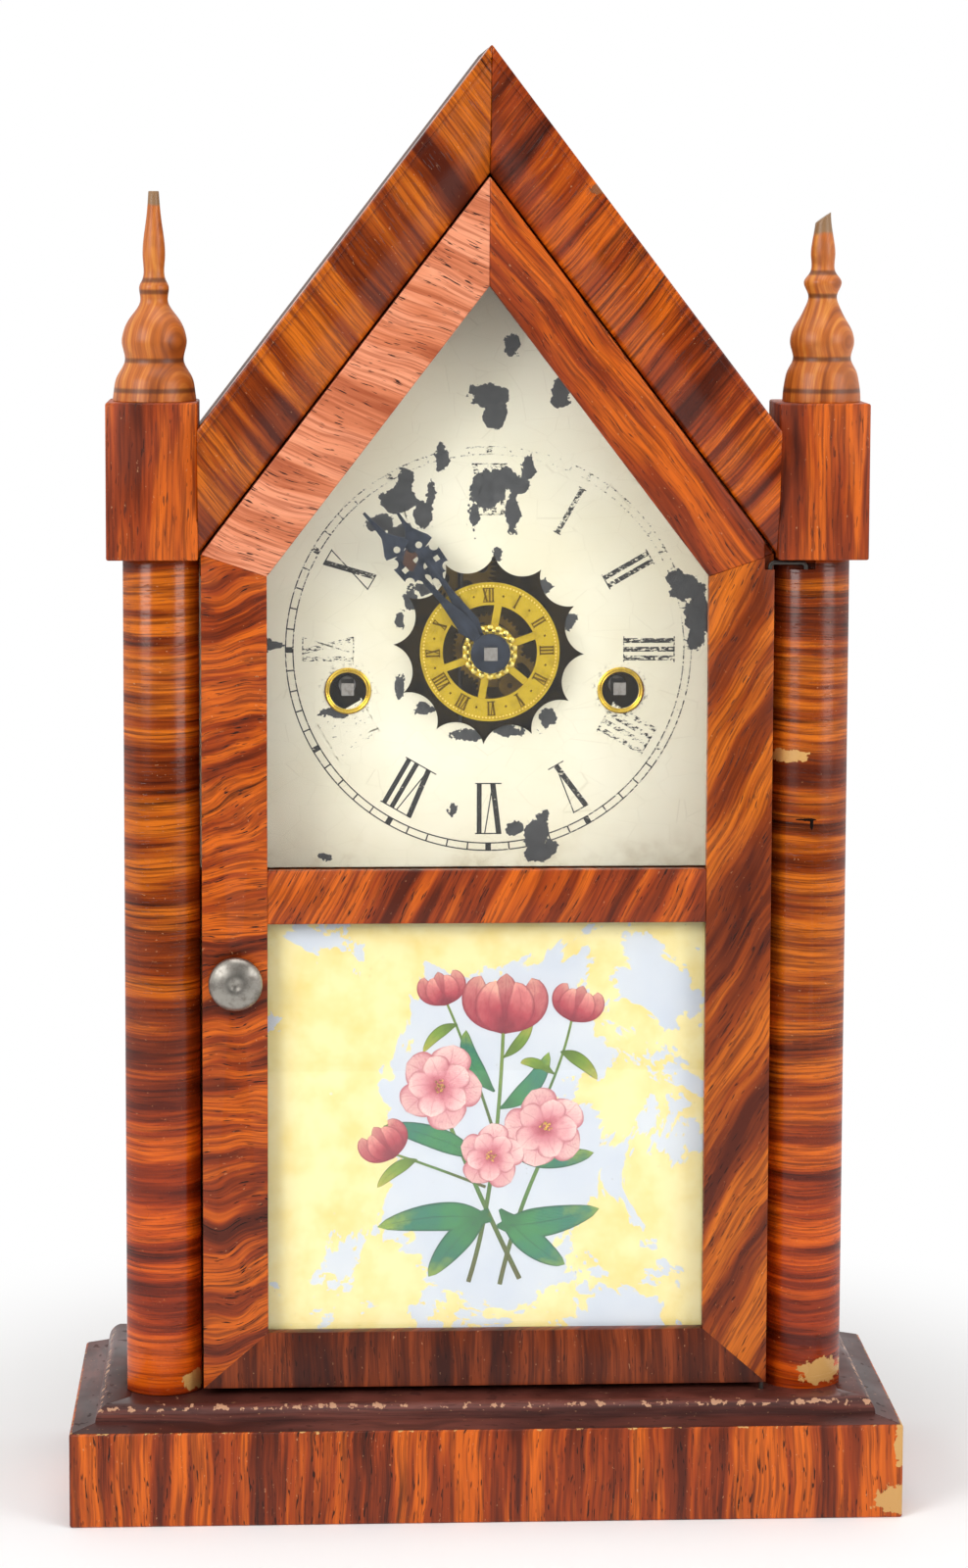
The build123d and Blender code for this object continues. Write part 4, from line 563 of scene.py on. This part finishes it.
bright_brass = metal("lacquered_brass", "#D9B830", "#9C7F1A", 0.36, 0.12, 4.0, 0.45)
# The beads and the boss on the alarm disc get a paler brass than the disc itself: a painted highlight on the
# raised work.
painted_highlight_brass = metal("brass_relief_painted_highlight", "#FBE27A", "#CFAE3C", 0.3, 0.1, 4.0, 0.3)
# The raised figures on the alarm disc get a dark brass: painted shade, so that they read as dark lines.
shaded_brass = metal("brass_figures_painted_shade", "#7C6010", "#4E3C0A", 0.5, 0.1, 2.0, 0.4)
grommet_brass = metal("spun_brass", "#DDB83C", "#8F7418", 0.24, 0.1, 4.0, 0.5, 7.0)
movement_brass = metal("movement_brass", "#8A6E2C", "#3C2E14", 0.4, 0.15, 12.0, 0.7, 3.0)
# The plates and the alarm works get a much darker brass than the wheels.
darker_plate_brass = metal("dark_movement_plate_brass", "#54431C", "#1E170A", 0.5, 0.15, 12.0, 0.7, 23.0)
iron = metal("dark_iron", "#5A5652", "#3A2E26", 0.45, 0.2, 6.0, 0.6, 5.0)
blued = metal("blued_spring_steel", "#3C4658", "#262422", 0.32, 0.15, 9.0, 0.6, 11.0)
japanned = metal("japanned_iron", "#2B2A29", "#3B2A22", 0.5, 0.15, 8.0, 0.5, 13.0)
nickel = metal("worn_nickel", "#A9A49B", "#77706A", 0.36, 0.14, 3.2, 0.75, 17.0)
pale_steel = metal("bright_steel", "#A8A29C", "#6E645C", 0.3, 0.15, 1.5, 0.5, 19.0)

dress(bright_brass, "alarm_bell", "pendulum_bob")
dress(movement_brass, "time_great_wheel", "strike_great_wheel",
      "second_wheel", "centre_wheel", "third_wheel", "escape_wheel", "minute_wheel", "hour_wheel",
      "strike_second_wheel", "warning_wheel", "fly", "latch_tongue")
dress(darker_plate_brass, "movement_front_plate", "movement_back_plate", "alarm_works")
dress(iron, "movement_pillars", "verge", "pendulum_rod", "hammer", "alarm_hammer", "hinge_wires")
dress(pale_steel, "time_winding_arbor", "strike_winding_arbor", "cannon_pinion")
dress(blued, "mainsprings", "gong_coil")
dress(japanned, "gong_base")
print("metals done")

# %% [markdown]
# ## Spun pieces
#
# The knob and the two winding grommets are spun. One profile, spun once round
# the piece's own axis, makes each. The grommets are two rolled beads, one
# inside the other.


# %% Knob and grommets
WINDING = (48.0, 284.5)
DIAL_FRONT = -6.0


def spun(bm, centre, profile, steps=64):
    """Spin a profile of (radius, y) in millimetres round the line through a centre (x, z) along Y."""
    verts = [bm.verts.new(((centre[0] + r) * MM, y * MM, centre[1] * MM)) for r, y in profile]
    edges = [bm.edges.new(pair) for pair in zip(verts, verts[1:])]
    bmesh.ops.spin(bm, geom=verts + edges, cent=(centre[0] * MM, 0, centre[1] * MM), axis=(0, 1, 0),
                   angle=2 * pi, steps=steps, use_merge=True)
    bmesh.ops.remove_doubles(bm, verts=bm.verts, dist=0.000002)


def closed(bm):
    """Face everything outwards."""
    bmesh.ops.recalc_face_normals(bm, faces=bm.faces)


def rounded(outer, inner, front, back, bulge):
    """A ring's profile with a rounded front, closed on itself."""
    middle = (outer + inner) / 2
    return [(inner, back), (inner, front + bulge), ((inner + middle) / 2, front + bulge * 0.3),
            (middle, front), ((outer + middle) / 2, front + bulge * 0.3), (outer, front + bulge),
            (outer, back), (inner, back)]


knob_low, knob_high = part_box("door_knob")
knob_at = ((knob_low.x + knob_high.x) / 2 / MM, (knob_low.z + knob_high.z) / 2 / MM)
knob_front, knob_back = knob_low.y / MM, knob_high.y / MM
dome = [(0, 0.9), (0.9, 0.75), (1.6, 0.35), (2.6, 0.05), (4.2, 0.25), (7.6, 1.6), (8.9, 2.5), (9.35, 3.4),
        (9.3, 4.1), (8.2, 4.7), (6.4, 5.3), (6.0, 7.0), (1.6, 7.0)]
bm = bmesh.new()
spun(bm, knob_at, [(r, knob_front + deep) for r, deep in dome] + [(1.6, knob_back), (0, knob_back)])
closed(bm)
to_object(bm, "nickel_knob", nickel, "door_latch", ("door_knob",))

bm = bmesh.new()
for side in (1, -1):
    for outer, inner, front, bulge in ((8.2, 7.1, -6.7, 0.3), (7.2, 6.5, -6.5, 0.2)):
        spun(bm, (side * WINDING[0], WINDING[1]), rounded(outer, inner, front, DIAL_FRONT, bulge))
closed(bm)
to_object(bm, "winding_grommets", grommet_brass, body_of_node["dial_grommets"],
          ("dial_grommets",))

# %% [markdown]
# ## Dial
#
# The dial is a zinc sheet under ivory oil paint, finely crazed, with the
# figures and the minute track printed in black and rubbed thin. Where the
# paint has flaked off, the grey zinc shows. Paint and ink share one recipe,
# so that a flake takes both. The ink itself is thin flat mesh, and an
# attribute on it says how worn each figure is.

# %% Dial paint and ink
DIAL = (1.5, 299.0)
# Each lost spot is (x, z, half width, half height). The spots were read off the
# photograph by eye as pixels, a separate program turned those into millimetres
# with the fitted camera, and its numbers were then rounded to half a millimetre.
FLAKES = {
    "above noon": [(9, 406, 2.5, 3.5), (2, 387.5, 5.5, 4), (3, 381, 4, 4), (-3, 389.5, 2.5, 1.5),
                   (26.5, 388.5, 2.5, 4)],
    "over XII": [(1, 355, 5.5, 6.5), (6, 359.5, 5, 3.5), (-4, 345.5, 1.5, 4.5), (9.5, 347.5, 2, 5.5),
                 (12.5, 357, 2.5, 2.5), (15, 362.5, 2, 3.5), (4, 332.5, 1, 1.5)],
    "over XI": [(-15, 366.5, 1.5, 4.5), (-19, 353.5, 1, 2.5), (-30, 351.5, 6, 4.5), (-28, 357.5, 3, 4),
                (-36.5, 343.5, 4.5, 3), (-22, 346.5, 3.5, 4), (-29, 339.5, 5, 3.5)],
    "left edge": [(-75.5, 300.5, 3.5, 2), (-55.5, 225.5, 1, 0.5)],
    "by III": [(71, 320.5, 5.5, 4), (75, 311, 4, 7.5), (74, 303, 3, 4), (66.5, 324, 2.5, 2.5)],
    "under VI": [(18, 233, 4, 5.5), (11.5, 235.5, 2.5, 2), (20.5, 238, 2, 3), (23.5, 228.5, 2.5, 2.5),
                 (19, 226, 4, 2.5), (-11, 242, 1.5, 2)],
    "round the opening": [(-21.5, 320.5, 3.5, 2), (-26, 317, 2, 3), (21, 321.5, 2.5, 2), (29, 309.5, 2, 2.5),
                          (-21.5, 278, 3, 1.5), (9, 270, 5, 1.5), (-5.5, 269, 5, 1.5), (22.5, 275, 2.5, 3),
                          (-29.5, 309.5, 1, 2.5), (-30, 286, 1, 2.5)],
    "left grommet": [(-51.5, 277, 2, 1.5), (-54, 277, 3, 1)],
}


def flaked(tree, here):
    """One where the paint has flaked off."""
    nearest = None
    for x, z, wide, tall in sum(FLAKES.values(), []):
        gap = distance(tree, here, (x, 0, z), (wide, None, tall))
        size = maths(tree, "MULTIPLY", maths(tree, "SUBTRACT", gap, constant=1.0), constant=min(wide, tall))
        nearest = size if nearest is None else maths(tree, "MINIMUM", nearest, size)
    coarse = noise(tree, here, 3.0, 0.7, scale=1 / 4.5)
    return step(tree, maths(tree, "ADD", nearest, uneven(tree, coarse, 6.0)), 0.6, 0.4)


def dial_finish(name, ink):
    """Ivory paint, or the ink on it, over grey zinc."""
    made, tree, shade = new_material(name)
    here = millimetres(tree)
    cloud = noise(tree, here, 3.0, scale=1 / 45)
    paint = ramp(tree, cloud, [(0.3, "#E9E2C6"), (0.65, "#F1ECD6")])
    cracks = add(tree, "ShaderNodeTexVoronoi", {"feature": "DISTANCE_TO_EDGE", "Scale": 1 / 9.0},
                 Vector=add(tree, "ShaderNodeMapping", {"Scale": (0.7, 1, 1.25)}, i0=here).outputs[0])
    crazed = step(tree, cracks.outputs[0], 0.012, 0.0, 0.0, 0.20)
    paint = blend_colour(tree, crazed, paint, "#A89B76")
    # The paint is blotchily darker towards the bottom of the dial, below about 240 mm up.
    low_blotches = noise(tree, here, 4.0, 0.65, scale=1 / 14)
    low_darkening = maths(tree, "MULTIPLY", step(tree, axis(tree, here, 2), 240, 222),
                  step(tree, low_blotches, 0.45, 0.75, 0.0, 0.5))
    paint = blend_colour(tree, low_darkening, paint, "#B7A57C")
    specks = step(tree, noise(tree, here, 4.0, 0.7, scale=1 / 1.1), 0.55, 0.66, 0.0, 0.8)
    for side in (1, -1):
        gap = distance(tree, here, (side * WINDING[0], DIAL_FRONT, WINDING[1]), (1, 1, 1))
        ring = maths(tree, "MULTIPLY", step(tree, gap, 11.5, 8.3), specks)
        paint = blend_colour(tree, ring, paint, "#5C5444")
    if ink:
        worn = add(tree, "ShaderNodeAttribute", {"attribute_name": "printed"}).outputs["Fac"]
        grit = noise(tree, stretch(tree, here, 1.6, 0.7, 2.0), 4.0, 0.7)
        kept = step(tree, maths(tree, "ADD", grit, maths(tree, "MULTIPLY", worn, constant=0.5)), 0.68, 0.74)
        paint = blend_colour(tree, kept, paint, "#1B1A18")
    gone = flaked(tree, here)
    zinc = ramp(tree, noise(tree, here, 3.0, scale=1 / 3.0), [(0.35, "#2F3032"), (0.7, "#444547")])
    relief = maths(tree, "ADD", maths(tree, "MULTIPLY", gone, constant=-1.0),
                   maths(tree, "MULTIPLY", crazed, constant=-1.0))
    lay(tree, shade, blend_colour(tree, gone, paint, zinc), 0.55, relief, 0.5, 0.0001)
    return made


dress(dial_finish("painted_zinc", False), "dial_plate")
printed_ink = dial_finish("printing_ink", True)


# %% Roman figures and the minute track
def stroke(bm, centre, turn, start, end, width, y_front, depth):
    """A flat bar between two (across, outwards) points, on a radius turned clockwise from noon."""
    along = Vector((end[0] - start[0], end[1] - start[1]))
    made = bmesh.ops.create_cube(bm, size=1.0)["verts"]
    bmesh.ops.scale(bm, vec=(along.length * MM, depth * MM, width * MM), verts=made)
    bmesh.ops.rotate(bm, cent=(0, 0, 0), matrix=Matrix.Rotation(-atan2(along.y, along.x), 3, "Y"), verts=made)
    middle = ((start[0] + end[0]) / 2, (start[1] + end[1]) / 2)
    bmesh.ops.translate(bm, vec=(middle[0] * MM, (y_front + depth / 2) * MM, middle[1] * MM), verts=made)
    bmesh.ops.rotate(bm, cent=(0, 0, 0), matrix=Matrix.Rotation(turn, 3, "Y"), verts=made)
    bmesh.ops.translate(bm, vec=(centre[0] * MM, 0, centre[1] * MM), verts=made)
    return made


FIGURES = ["XII", "I", "II", "III", "IIII", "V", "VI", "VII", "VIII", "IX", "X", "XI"]


def roman(bm, centre, turn, text, foot, top, sizes, y_front, depth):
    """A Roman figure standing on a radius; sizes are (thick, thin, I step, V width)."""
    thick, thin, i_step, v_width = sizes
    widths = {"I": i_step, "V": v_width, "X": v_width}
    made = []

    def bar(start, end, width):
        """Add one bar of the figure."""
        made.extend(stroke(bm, centre, turn, start, end, width, y_front, depth))

    at = -sum(widths[letter] for letter in text) / 2
    first, last = at, -at
    for letter in text:
        right = at + widths[letter]
        middle = (at + right) / 2
        if letter == "I":
            bar((middle, foot), (middle, top), thick)
        elif letter == "V":
            bar((at + thick * 0.6, top), (middle, foot), thick * 1.1)
            bar((right - thin, top), (middle, foot), thin)
        else:
            bar((at + thick * 0.6, top), (right - thick * 0.6, foot), thick * 1.1)
            bar((right - thin, top), (at + thin, foot), thin)
        at = right
    for line in (foot, top):
        bar((first + 0.1, line), (last - 0.1, line), thin)
    return made


PRINTED = [0.40, 0.50, 0.56, 0.48, 0.34, 0.62, 0.76, 0.74, 0.14, 0.34, 0.66, 0.20]
INK_FRONT, INK_DEPTH = -6.04, 0.05
TRACK = (68.7, 71.3)
HALF_LINE = 0.22
BEST_KEPT = radians(205)
bm = bmesh.new()
printed = bm.verts.layers.float.new("printed")
for hour, (text, kept) in enumerate(zip(FIGURES, PRINTED)):
    for vert in roman(bm, DIAL, hour * pi / 6, text, 47.5, 65.3, (1.7, 0.42, 3.1, 6.4), INK_FRONT, INK_DEPTH):
        vert[printed] = kept
for minute in range(60):
    turn = minute * pi / 30
    thick = 2.0 if minute % 5 == 0 else 0.5
    kept = 0.55 + 0.26 * cos(turn - BEST_KEPT) - 0.22 * (80 < minute * 6 < 125)
    for vert in stroke(bm, DIAL, turn, (0, TRACK[0]), (0, TRACK[1]), thick, INK_FRONT, INK_DEPTH):
        vert[printed] = kept
for radius in TRACK:
    near_side, far_side = radius - HALF_LINE, radius + HALF_LINE
    spun(bm, DIAL, [(near_side, DIAL_FRONT), (near_side, INK_FRONT), (far_side, INK_FRONT),
                    (far_side, DIAL_FRONT)], 240)
for vert in bm.verts:
    if vert[printed] == 0.0:
        bearing = atan2(vert.co.x / MM - DIAL[0], vert.co.z / MM - DIAL[1])
        vert[printed] = 0.5 + 0.24 * cos(bearing - BEST_KEPT)
closed(bm)
to_object(bm, "dial_printing", printed_ink, body_of_node["dial_plate"], smooth=False)
print("dial printing done")

# %% [markdown]
# ## Alarm disc
#
# A stamped brass disc turns in front of the dial. Its ring carries small
# raised Roman figures with dots between them, a beaded rim and a milled,
# flowered boss. The disc itself is the CAD node, and the raised work is added.
# The beads and the boss are a paler brass than the disc, a painted highlight,
# and the figures a dark brass, painted shade.


# %% Raised work on the alarm disc
def bead(bm, centre, radius, turn, y, size, flat=1.0, rounds=1):
    """A small ball, flattened front to back, on a radius turned clockwise from noon."""
    place = Matrix.Translation(((centre[0] + radius * sin(turn)) * MM, y * MM,
                                (centre[1] + radius * cos(turn)) * MM))
    bmesh.ops.create_icosphere(bm, subdivisions=rounds, radius=size * MM,
                               matrix=place @ Matrix.Diagonal((1, flat, 1, 1)))


dress(bright_brass, "alarm_disc")
bm = bmesh.new()
for hour, text in enumerate(FIGURES):
    roman(bm, DIAL, (hour - 0.05) * pi / 6, text.replace("IIII", "IV"), 17.6, 22.3, (0.62, 0.3, 1.15, 1.9),
          -13.4, 0.45)
    bead(bm, DIAL, 20, (hour + 0.45) * pi / 6, -13.05, 0.45)
closed(bm)
to_object(bm, "alarm_disc_figures", shaded_brass, body_of_node["alarm_disc"], smooth=False)
bm = bmesh.new()
for index in range(120):
    bead(bm, DIAL, 23.2, index * pi / 60, -13.1, 0.38)
for petal in range(18):
    bead(bm, DIAL, 8.6, petal * pi / 9, -14.3, 1.25, 0.5, 2)
    bead(bm, DIAL, 7.4, petal * pi / 9 + pi / 18, -14.3, 0.8, 0.5, 2)
closed(bm)
to_object(bm, "alarm_disc_relief", painted_highlight_brass, body_of_node["alarm_disc"])
print("alarm disc done")

# %% [markdown]
# ## Hands
#
# The hands are blackened steel, punched and pierced, with a round collet, and
# the square end of the arbor shows in the middle. Rust has browned the longer
# hand's head.


# %% Hands
def rusty(name, spots):
    """Blackened steel with brown rust at named spots."""
    made, tree, shade = new_material(name)
    here = millimetres(tree)
    tone = noise(tree, here, 4.0, scale=1 / 4)
    colour = ramp(tree, tone, [(0.35, "#1C222E"), (0.7, "#39404E")])
    for at, reach in spots:
        colour = blend_colour(tree, near(tree, here, at, reach, 1.2, 1.5), colour, "#54392B")
    lay(tree, shade, colour, step(tree, tone, 0.3, 0.7, 0.32, 0.5))
    shade.inputs["Metallic"].default_value = 0.75
    return made


for hand, spots in (("minute", [((-26.5, 331.5), (2.6, 3.6))]), ("hour", [])):
    eased(f"{hand}_hand", 0.15 * MM, rusty(f"blackened_steel_{hand}", spots))
print("hands done")

# %% [markdown]
# ## Glass
#
# Both panes are thin old sheet glass. A thin pane barely bends light, so the
# recipe is a clear refractive shader that lets shadow rays straight through,
# which lights the dial behind it as real glass does.

# %% Clear glass
glass, tree, shade = new_material("old_sheet_glass")
shade.inputs["Base Color"].default_value = linear("#FCFDFC")
shade.inputs["Roughness"].default_value = 0.0
shade.inputs["IOR"].default_value = 1.5
shade.inputs["Transmission Weight"].default_value = 1.0
clear = add(tree, "ShaderNodeBsdfTransparent", {"Color": linear("#FFFFFF")})
shadow = add(tree, "ShaderNodeLightPath").outputs["Is Shadow Ray"]
through = mixed(tree, shadow, shade.outputs[0], clear.outputs[0])
tree.links.new(through, tree.nodes["Material Output"].inputs["Surface"])
dress(glass, "dial_glass", "tablet_glass")

# %% [markdown]
# ## Tablet
#
# The lower pane is painted on its back: a pale ground, with a cream-yellow
# coat that has flaked away in patches. A spray of flowers sits in the middle.
# The ground is a thin sheet behind the pane. Each petal, leaf and stem is a
# thin blade bent along its own curve, and its UVs carry the colour from foot
# to tip.

# %% Tablet ground
LEFT, RIGHT, LOW, HIGH = -77.0, 77.0, 61.0, 207.0
GROUND_Y, GROUND_THICK = -27.2, 0.1
tablet_ground, tree, shade = new_material("flaking_tablet_paint")
here = millimetres(tree)
cloud = noise(tree, here, 3.0, scale=1 / 30)
ground = ramp(tree, cloud, [(0.3, "#C4CAD6"), (0.7, "#D3D6DB")])
wide = noise(tree, here, 5.0, 0.68, 0.5, scale=1 / 42)
lift = step(tree, distance(tree, here, (2, 0, 134), (36, None, 60)), 0.75, 1.35, -0.12, 0.04)
coat = step(tree, maths(tree, "ADD", wide, lift), 0.485, 0.495)
yellow = ramp(tree, noise(tree, here, 4.0, scale=1 / 11), [(0.3, "#E9D07A"), (0.6, "#F0E0A0")])
colour = blend_colour(tree, maths(tree, "MULTIPLY", coat, constant=0.95), ground, yellow)
specks = noise(tree, here, 2.0, scale=1 / 1.4)
lay(tree, shade, blend_colour(tree, step(tree, specks, 0.74, 0.78, 0.0, 0.5), colour, "#8A8474"), 0.6)
bm = bmesh.new()
bmesh.ops.create_cube(bm, size=1.0)
bmesh.ops.scale(bm, vec=((RIGHT - LEFT) * MM, GROUND_THICK * MM, (HIGH - LOW) * MM), verts=bm.verts)
bmesh.ops.translate(bm, vec=(0, GROUND_Y * MM, (LOW + HIGH) / 2 * MM), verts=bm.verts)
to_object(bm, "tablet_paint", tablet_ground, "door", smooth=False)


# %% Flowers
def swelling(width, peak, foot=0.12):
    """A half width that swells to its widest at peak and closes at the tip."""
    def half(t):
        rise = min(1.0, t / peak)
        fall = max(0.0, min(1.0, (1 - t) / (1 - peak)))
        return width * max(foot * (1 - t), sin(pi / 2 * rise) ** 0.8 * sin(pi / 2 * fall) ** 0.6)
    return half


def even(width):
    """A stem's half width, a little thinner towards the tip."""
    return lambda t: width * (1.1 - 0.3 * t)


def painted(name, stops, vein, vein_share, edge):
    """Printed colour along a blade: stops from foot to tip, veins across it and a darker edge."""
    made, tree, shade = new_material(name)
    uv = add(tree, "ShaderNodeTexCoord").outputs["UV"]
    along = axis(tree, uv, 0)
    tone = add(tree, "ShaderNodeAttribute", {"attribute_name": "tone"}).outputs["Fac"]
    here = millimetres(tree)
    grain = noise(tree, here, 3.0, 0.7, scale=1 / 0.9)
    soft = noise(tree, here, 3.0, scale=1 / 6)
    colour = ramp(tree, maths(tree, "ADD", along, uneven(tree, soft, 0.7)), stops)
    across = off_by(tree, axis(tree, uv, 1), 0.5)
    colour = blend_colour(tree, step(tree, across, 0.035, 0.0, 0.0, vein_share), colour, vein)
    slanted = add(tree, "ShaderNodeMapping", {"Rotation": (0, 0, radians(38))}, i0=uv).outputs[0]
    wave = add(tree, "ShaderNodeTexWave", {"Scale": 4.5, "Distortion": 2.0, "Detail": 1.0},
               Vector=slanted).outputs[1]
    colour = blend_colour(tree, step(tree, wave, 0.7, 1.0, 0.0, vein_share * 0.5), colour, vein)
    colour = blend_colour(tree, step(tree, across, 0.36, 0.5, 0.0, 0.75), colour, edge)
    colour = blend_colour(tree, step(tree, grain, 0.52, 0.66, 0.0, 0.28), colour, edge)
    dimmed = maths(tree, "MAXIMUM", maths(tree, "SUBTRACT", tone, constant=0.5), constant=0.0)
    lay(tree, shade, blend_colour(tree, dimmed, colour, edge), 0.55)
    return made


pink_petal = painted("printed_pink_petal",
                     [(0.05, "#A53B4C"), (0.3, "#D07A84"), (0.62, "#EDB4B4"), (0.95, "#F6D5CC")],
                     "#B85566", 0.35, "#B0505E")
deep_petal = painted("printed_deep_petal",
                     [(0.05, "#7C2232"), (0.4, "#B5444F"), (0.75, "#D97F7C"), (1.0, "#EDB09C")],
                     "#8C2C3C", 0.4, "#86293A")
green_leaf = painted("printed_leaf",
                     [(0.0, "#2E6A3C"), (0.35, "#3F8A4E"), (0.7, "#2C7A62"), (1.0, "#8FA83E")],
                     "#1E4B38", 0.6, "#1C4A3A")
olive_leaf = painted("printed_young_leaf", [(0.0, "#4F6A26"), (0.5, "#7C9A34"), (1.0, "#B8B24A")],
                     "#3E5220", 0.5, "#46581F")
stem_green = painted("printed_stem", [(0.0, "#5C5A2A"), (0.5, "#4F7A34"), (1.0, "#7C9240")],
                     "#3B4A22", 0.3, "#33501F")


class Spray:
    """One layer of the spray: blades that share a material."""

    def __init__(self, name, material):
        self.name, self.material = name, material
        self.bm = bmesh.new()
        self.uv_layer = self.bm.loops.layers.uv.new("UVMap")
        self.tone_layer = self.bm.verts.layers.float.new("tone")

    def blade(self, start, bend, end, shape, y, tone=0.5):
        """A thin curved blade: its middle follows a curve, and shape gives half its width along it."""
        made = bmesh.ops.create_grid(self.bm, x_segments=14, y_segments=4, size=0.5)["verts"]
        start, bend, end = Vector(start), Vector(bend), Vector(end)
        place = {vert: (vert.co.x + 0.5, vert.co.y * 2) for vert in made}
        for vert in made:
            for loop in vert.link_loops:
                loop[self.uv_layer].uv = (place[vert][0], place[vert][1] / 2 + 0.5)
        for vert, (t, s) in place.items():
            point = start * (1 - t) ** 2 + bend * 2 * t * (1 - t) + end * t * t
            tangent = ((bend - start) * (1 - t) + (end - bend) * t).normalized()
            spot = point + Vector((tangent.y, -tangent.x)) * s * shape(t)
            vert.co = Vector((spot.x * MM, (y - 0.02 * (1 - s * s)) * MM, spot.y * MM))
            vert[self.tone_layer] = tone

    def finish(self):
        """Face every blade forwards and make the object."""
        for face in self.bm.faces:
            if face.normal.y > 0:
                face.normal_flip()
        to_object(self.bm, self.name, self.material, "door")


stems, leaves, young = [Spray(*layer) for layer in (("spray_stems", stem_green), ("spray_leaves", green_leaf),
                                                    ("spray_young", olive_leaf))]
pale, strong = Spray("spray_petals", pink_petal), Spray("spray_tulips", deep_petal)
chance = random.Random(7)


def tulip(at, lean, size, y):
    """A side-on tulip: three back petals and two cupped front ones."""
    up = Vector((sin(lean), cos(lean)))
    out = Vector((cos(lean), -sin(lean)))
    foot = Vector(at)
    for share, reach, tone in ((0.0, 1.0, 0.9), (-0.42, 0.94, 0.8), (0.42, 0.94, 0.75)):
        tip = foot + up * size * reach + out * size * share
        bend = foot + up * size * 0.45 + out * size * share * 1.6
        strong.blade(foot, bend, tip, swelling(size * 0.26, 0.5), y, tone)
    for share, tone in ((-0.2, 0.55), (0.2, 0.5)):
        tip = foot + up * size * 0.86 + out * size * share * 0.8
        bend = foot + up * size * 0.4 + out * size * share * 2.2
        strong.blade(foot, bend, tip, swelling(size * 0.24, 0.46), y - 0.03, tone)


def blossom(at, size, turn, y):
    """An open flower with two rings of five petals, seen from the front."""
    for ring, (reach, tone) in enumerate(((1.0, 0.62), (0.74, 0.5))):
        for i in range(5):
            angle = turn + 2 * pi * (i + 0.5 * ring) / 5
            long = size * reach * (1 + 0.08 * (chance.random() - 0.5))
            tip = (at[0] + long * sin(angle), at[1] + long * cos(angle))
            bend = (at[0] + long * 0.5 * sin(angle + 0.25), at[1] + long * 0.5 * cos(angle + 0.25))
            pale.blade(at, bend, tip, swelling(long * 0.46, 0.68, 0.3), y - 0.03 * ring,
                       tone + 0.3 * chance.random())


def leaf(spray, y, start, bend, end, width):
    """A leaf, each in its own tone of green."""
    spray.blade(start, bend, end, swelling(width, 0.42), y, 0.4 + 0.4 * chance.random())


STEM_Y, LEAF_Y, YOUNG_Y, TULIP_Y, STAMEN_Y = -27.3, -27.33, -27.34, -27.36, -27.43
STEMS = [((-6, 78), (4, 110), (6, 168), 0.75), ((12, 79), (-4, 112), (-19, 150), 0.8),
         ((5, 77), (12, 110), (27, 136), 0.75), ((0, 112), (-20, 120), (-32, 124), 0.5),
         ((8, 118), (26, 150), (30, 172), 0.5), ((4, 128), (-6, 160), (-14, 178), 0.5)]
LEAVES = [((2, 100), (-14, 104), (-38, 98), 5.2), ((4, 98), (20, 98), (40, 104), 5.4),
          ((1, 104), (-12, 92), (-20, 80), 4.6), ((5, 104), (16, 90), (28, 84), 4.8),
          ((7, 126), (22, 120), (38, 124), 4.2), ((-2, 122), (-18, 132), (-36, 134), 4.0),
          ((5, 140), (18, 146), (22, 160), 3.4), ((3, 146), (-8, 156), (-7, 168), 3.2)]
YOUNG = [((-24, 122), (-32, 120), (-38, 112), 2.3), ((26, 160), (34, 158), (39, 150), 2.4),
         ((24, 152), (16, 158), (12, 156), 1.9), ((-10, 170), (-18, 168), (-22, 160), 2.0),
         ((6, 158), (14, 164), (16, 172), 2.0)]
TULIPS = [((6, 167), 0.05, 21), ((-32, 123), -0.6, 13), ((30, 171), 0.3, 13), ((-14, 177), -0.25, 12)]
BLOSSOMS = [((-16, 148), 15, 0.3, -27.38), ((21, 133), 14.5, 0.9, -27.38), ((2, 123), 11.5, 0.0, -27.4)]
for start, bend, end, width in STEMS:
    stems.blade(start, bend, end, even(width), STEM_Y)
for shape in LEAVES:
    leaf(leaves, LEAF_Y, *shape)
for shape in YOUNG:
    leaf(young, YOUNG_Y, *shape)
for flower in TULIPS:
    tulip(*flower, TULIP_Y)
for flower in BLOSSOMS:
    blossom(*flower)
for spray in (stems, leaves, young, strong, pale):
    spray.finish()

hearts = bmesh.new()
for flower, size in zip(BLOSSOMS, (2.3, 2.2, 1.8)):
    for stamen in range(22):
        angle, reach = chance.random() * 2 * pi, size * chance.random() ** 0.5
        bead(hearts, flower[0], reach, angle, STAMEN_Y, 0.42, 0.12)
heart_paint, tree, shade = new_material("printed_stamens")
dots = noise(tree, millimetres(tree), 2.0, scale=1 / 0.8)
lay(tree, shade, ramp(tree, dots, [(0.4, "#7A4A1C"), (0.6, "#E0B040")]), 0.6)
to_object(hearts, "spray_hearts", heart_paint, "door")
print("tablet done")
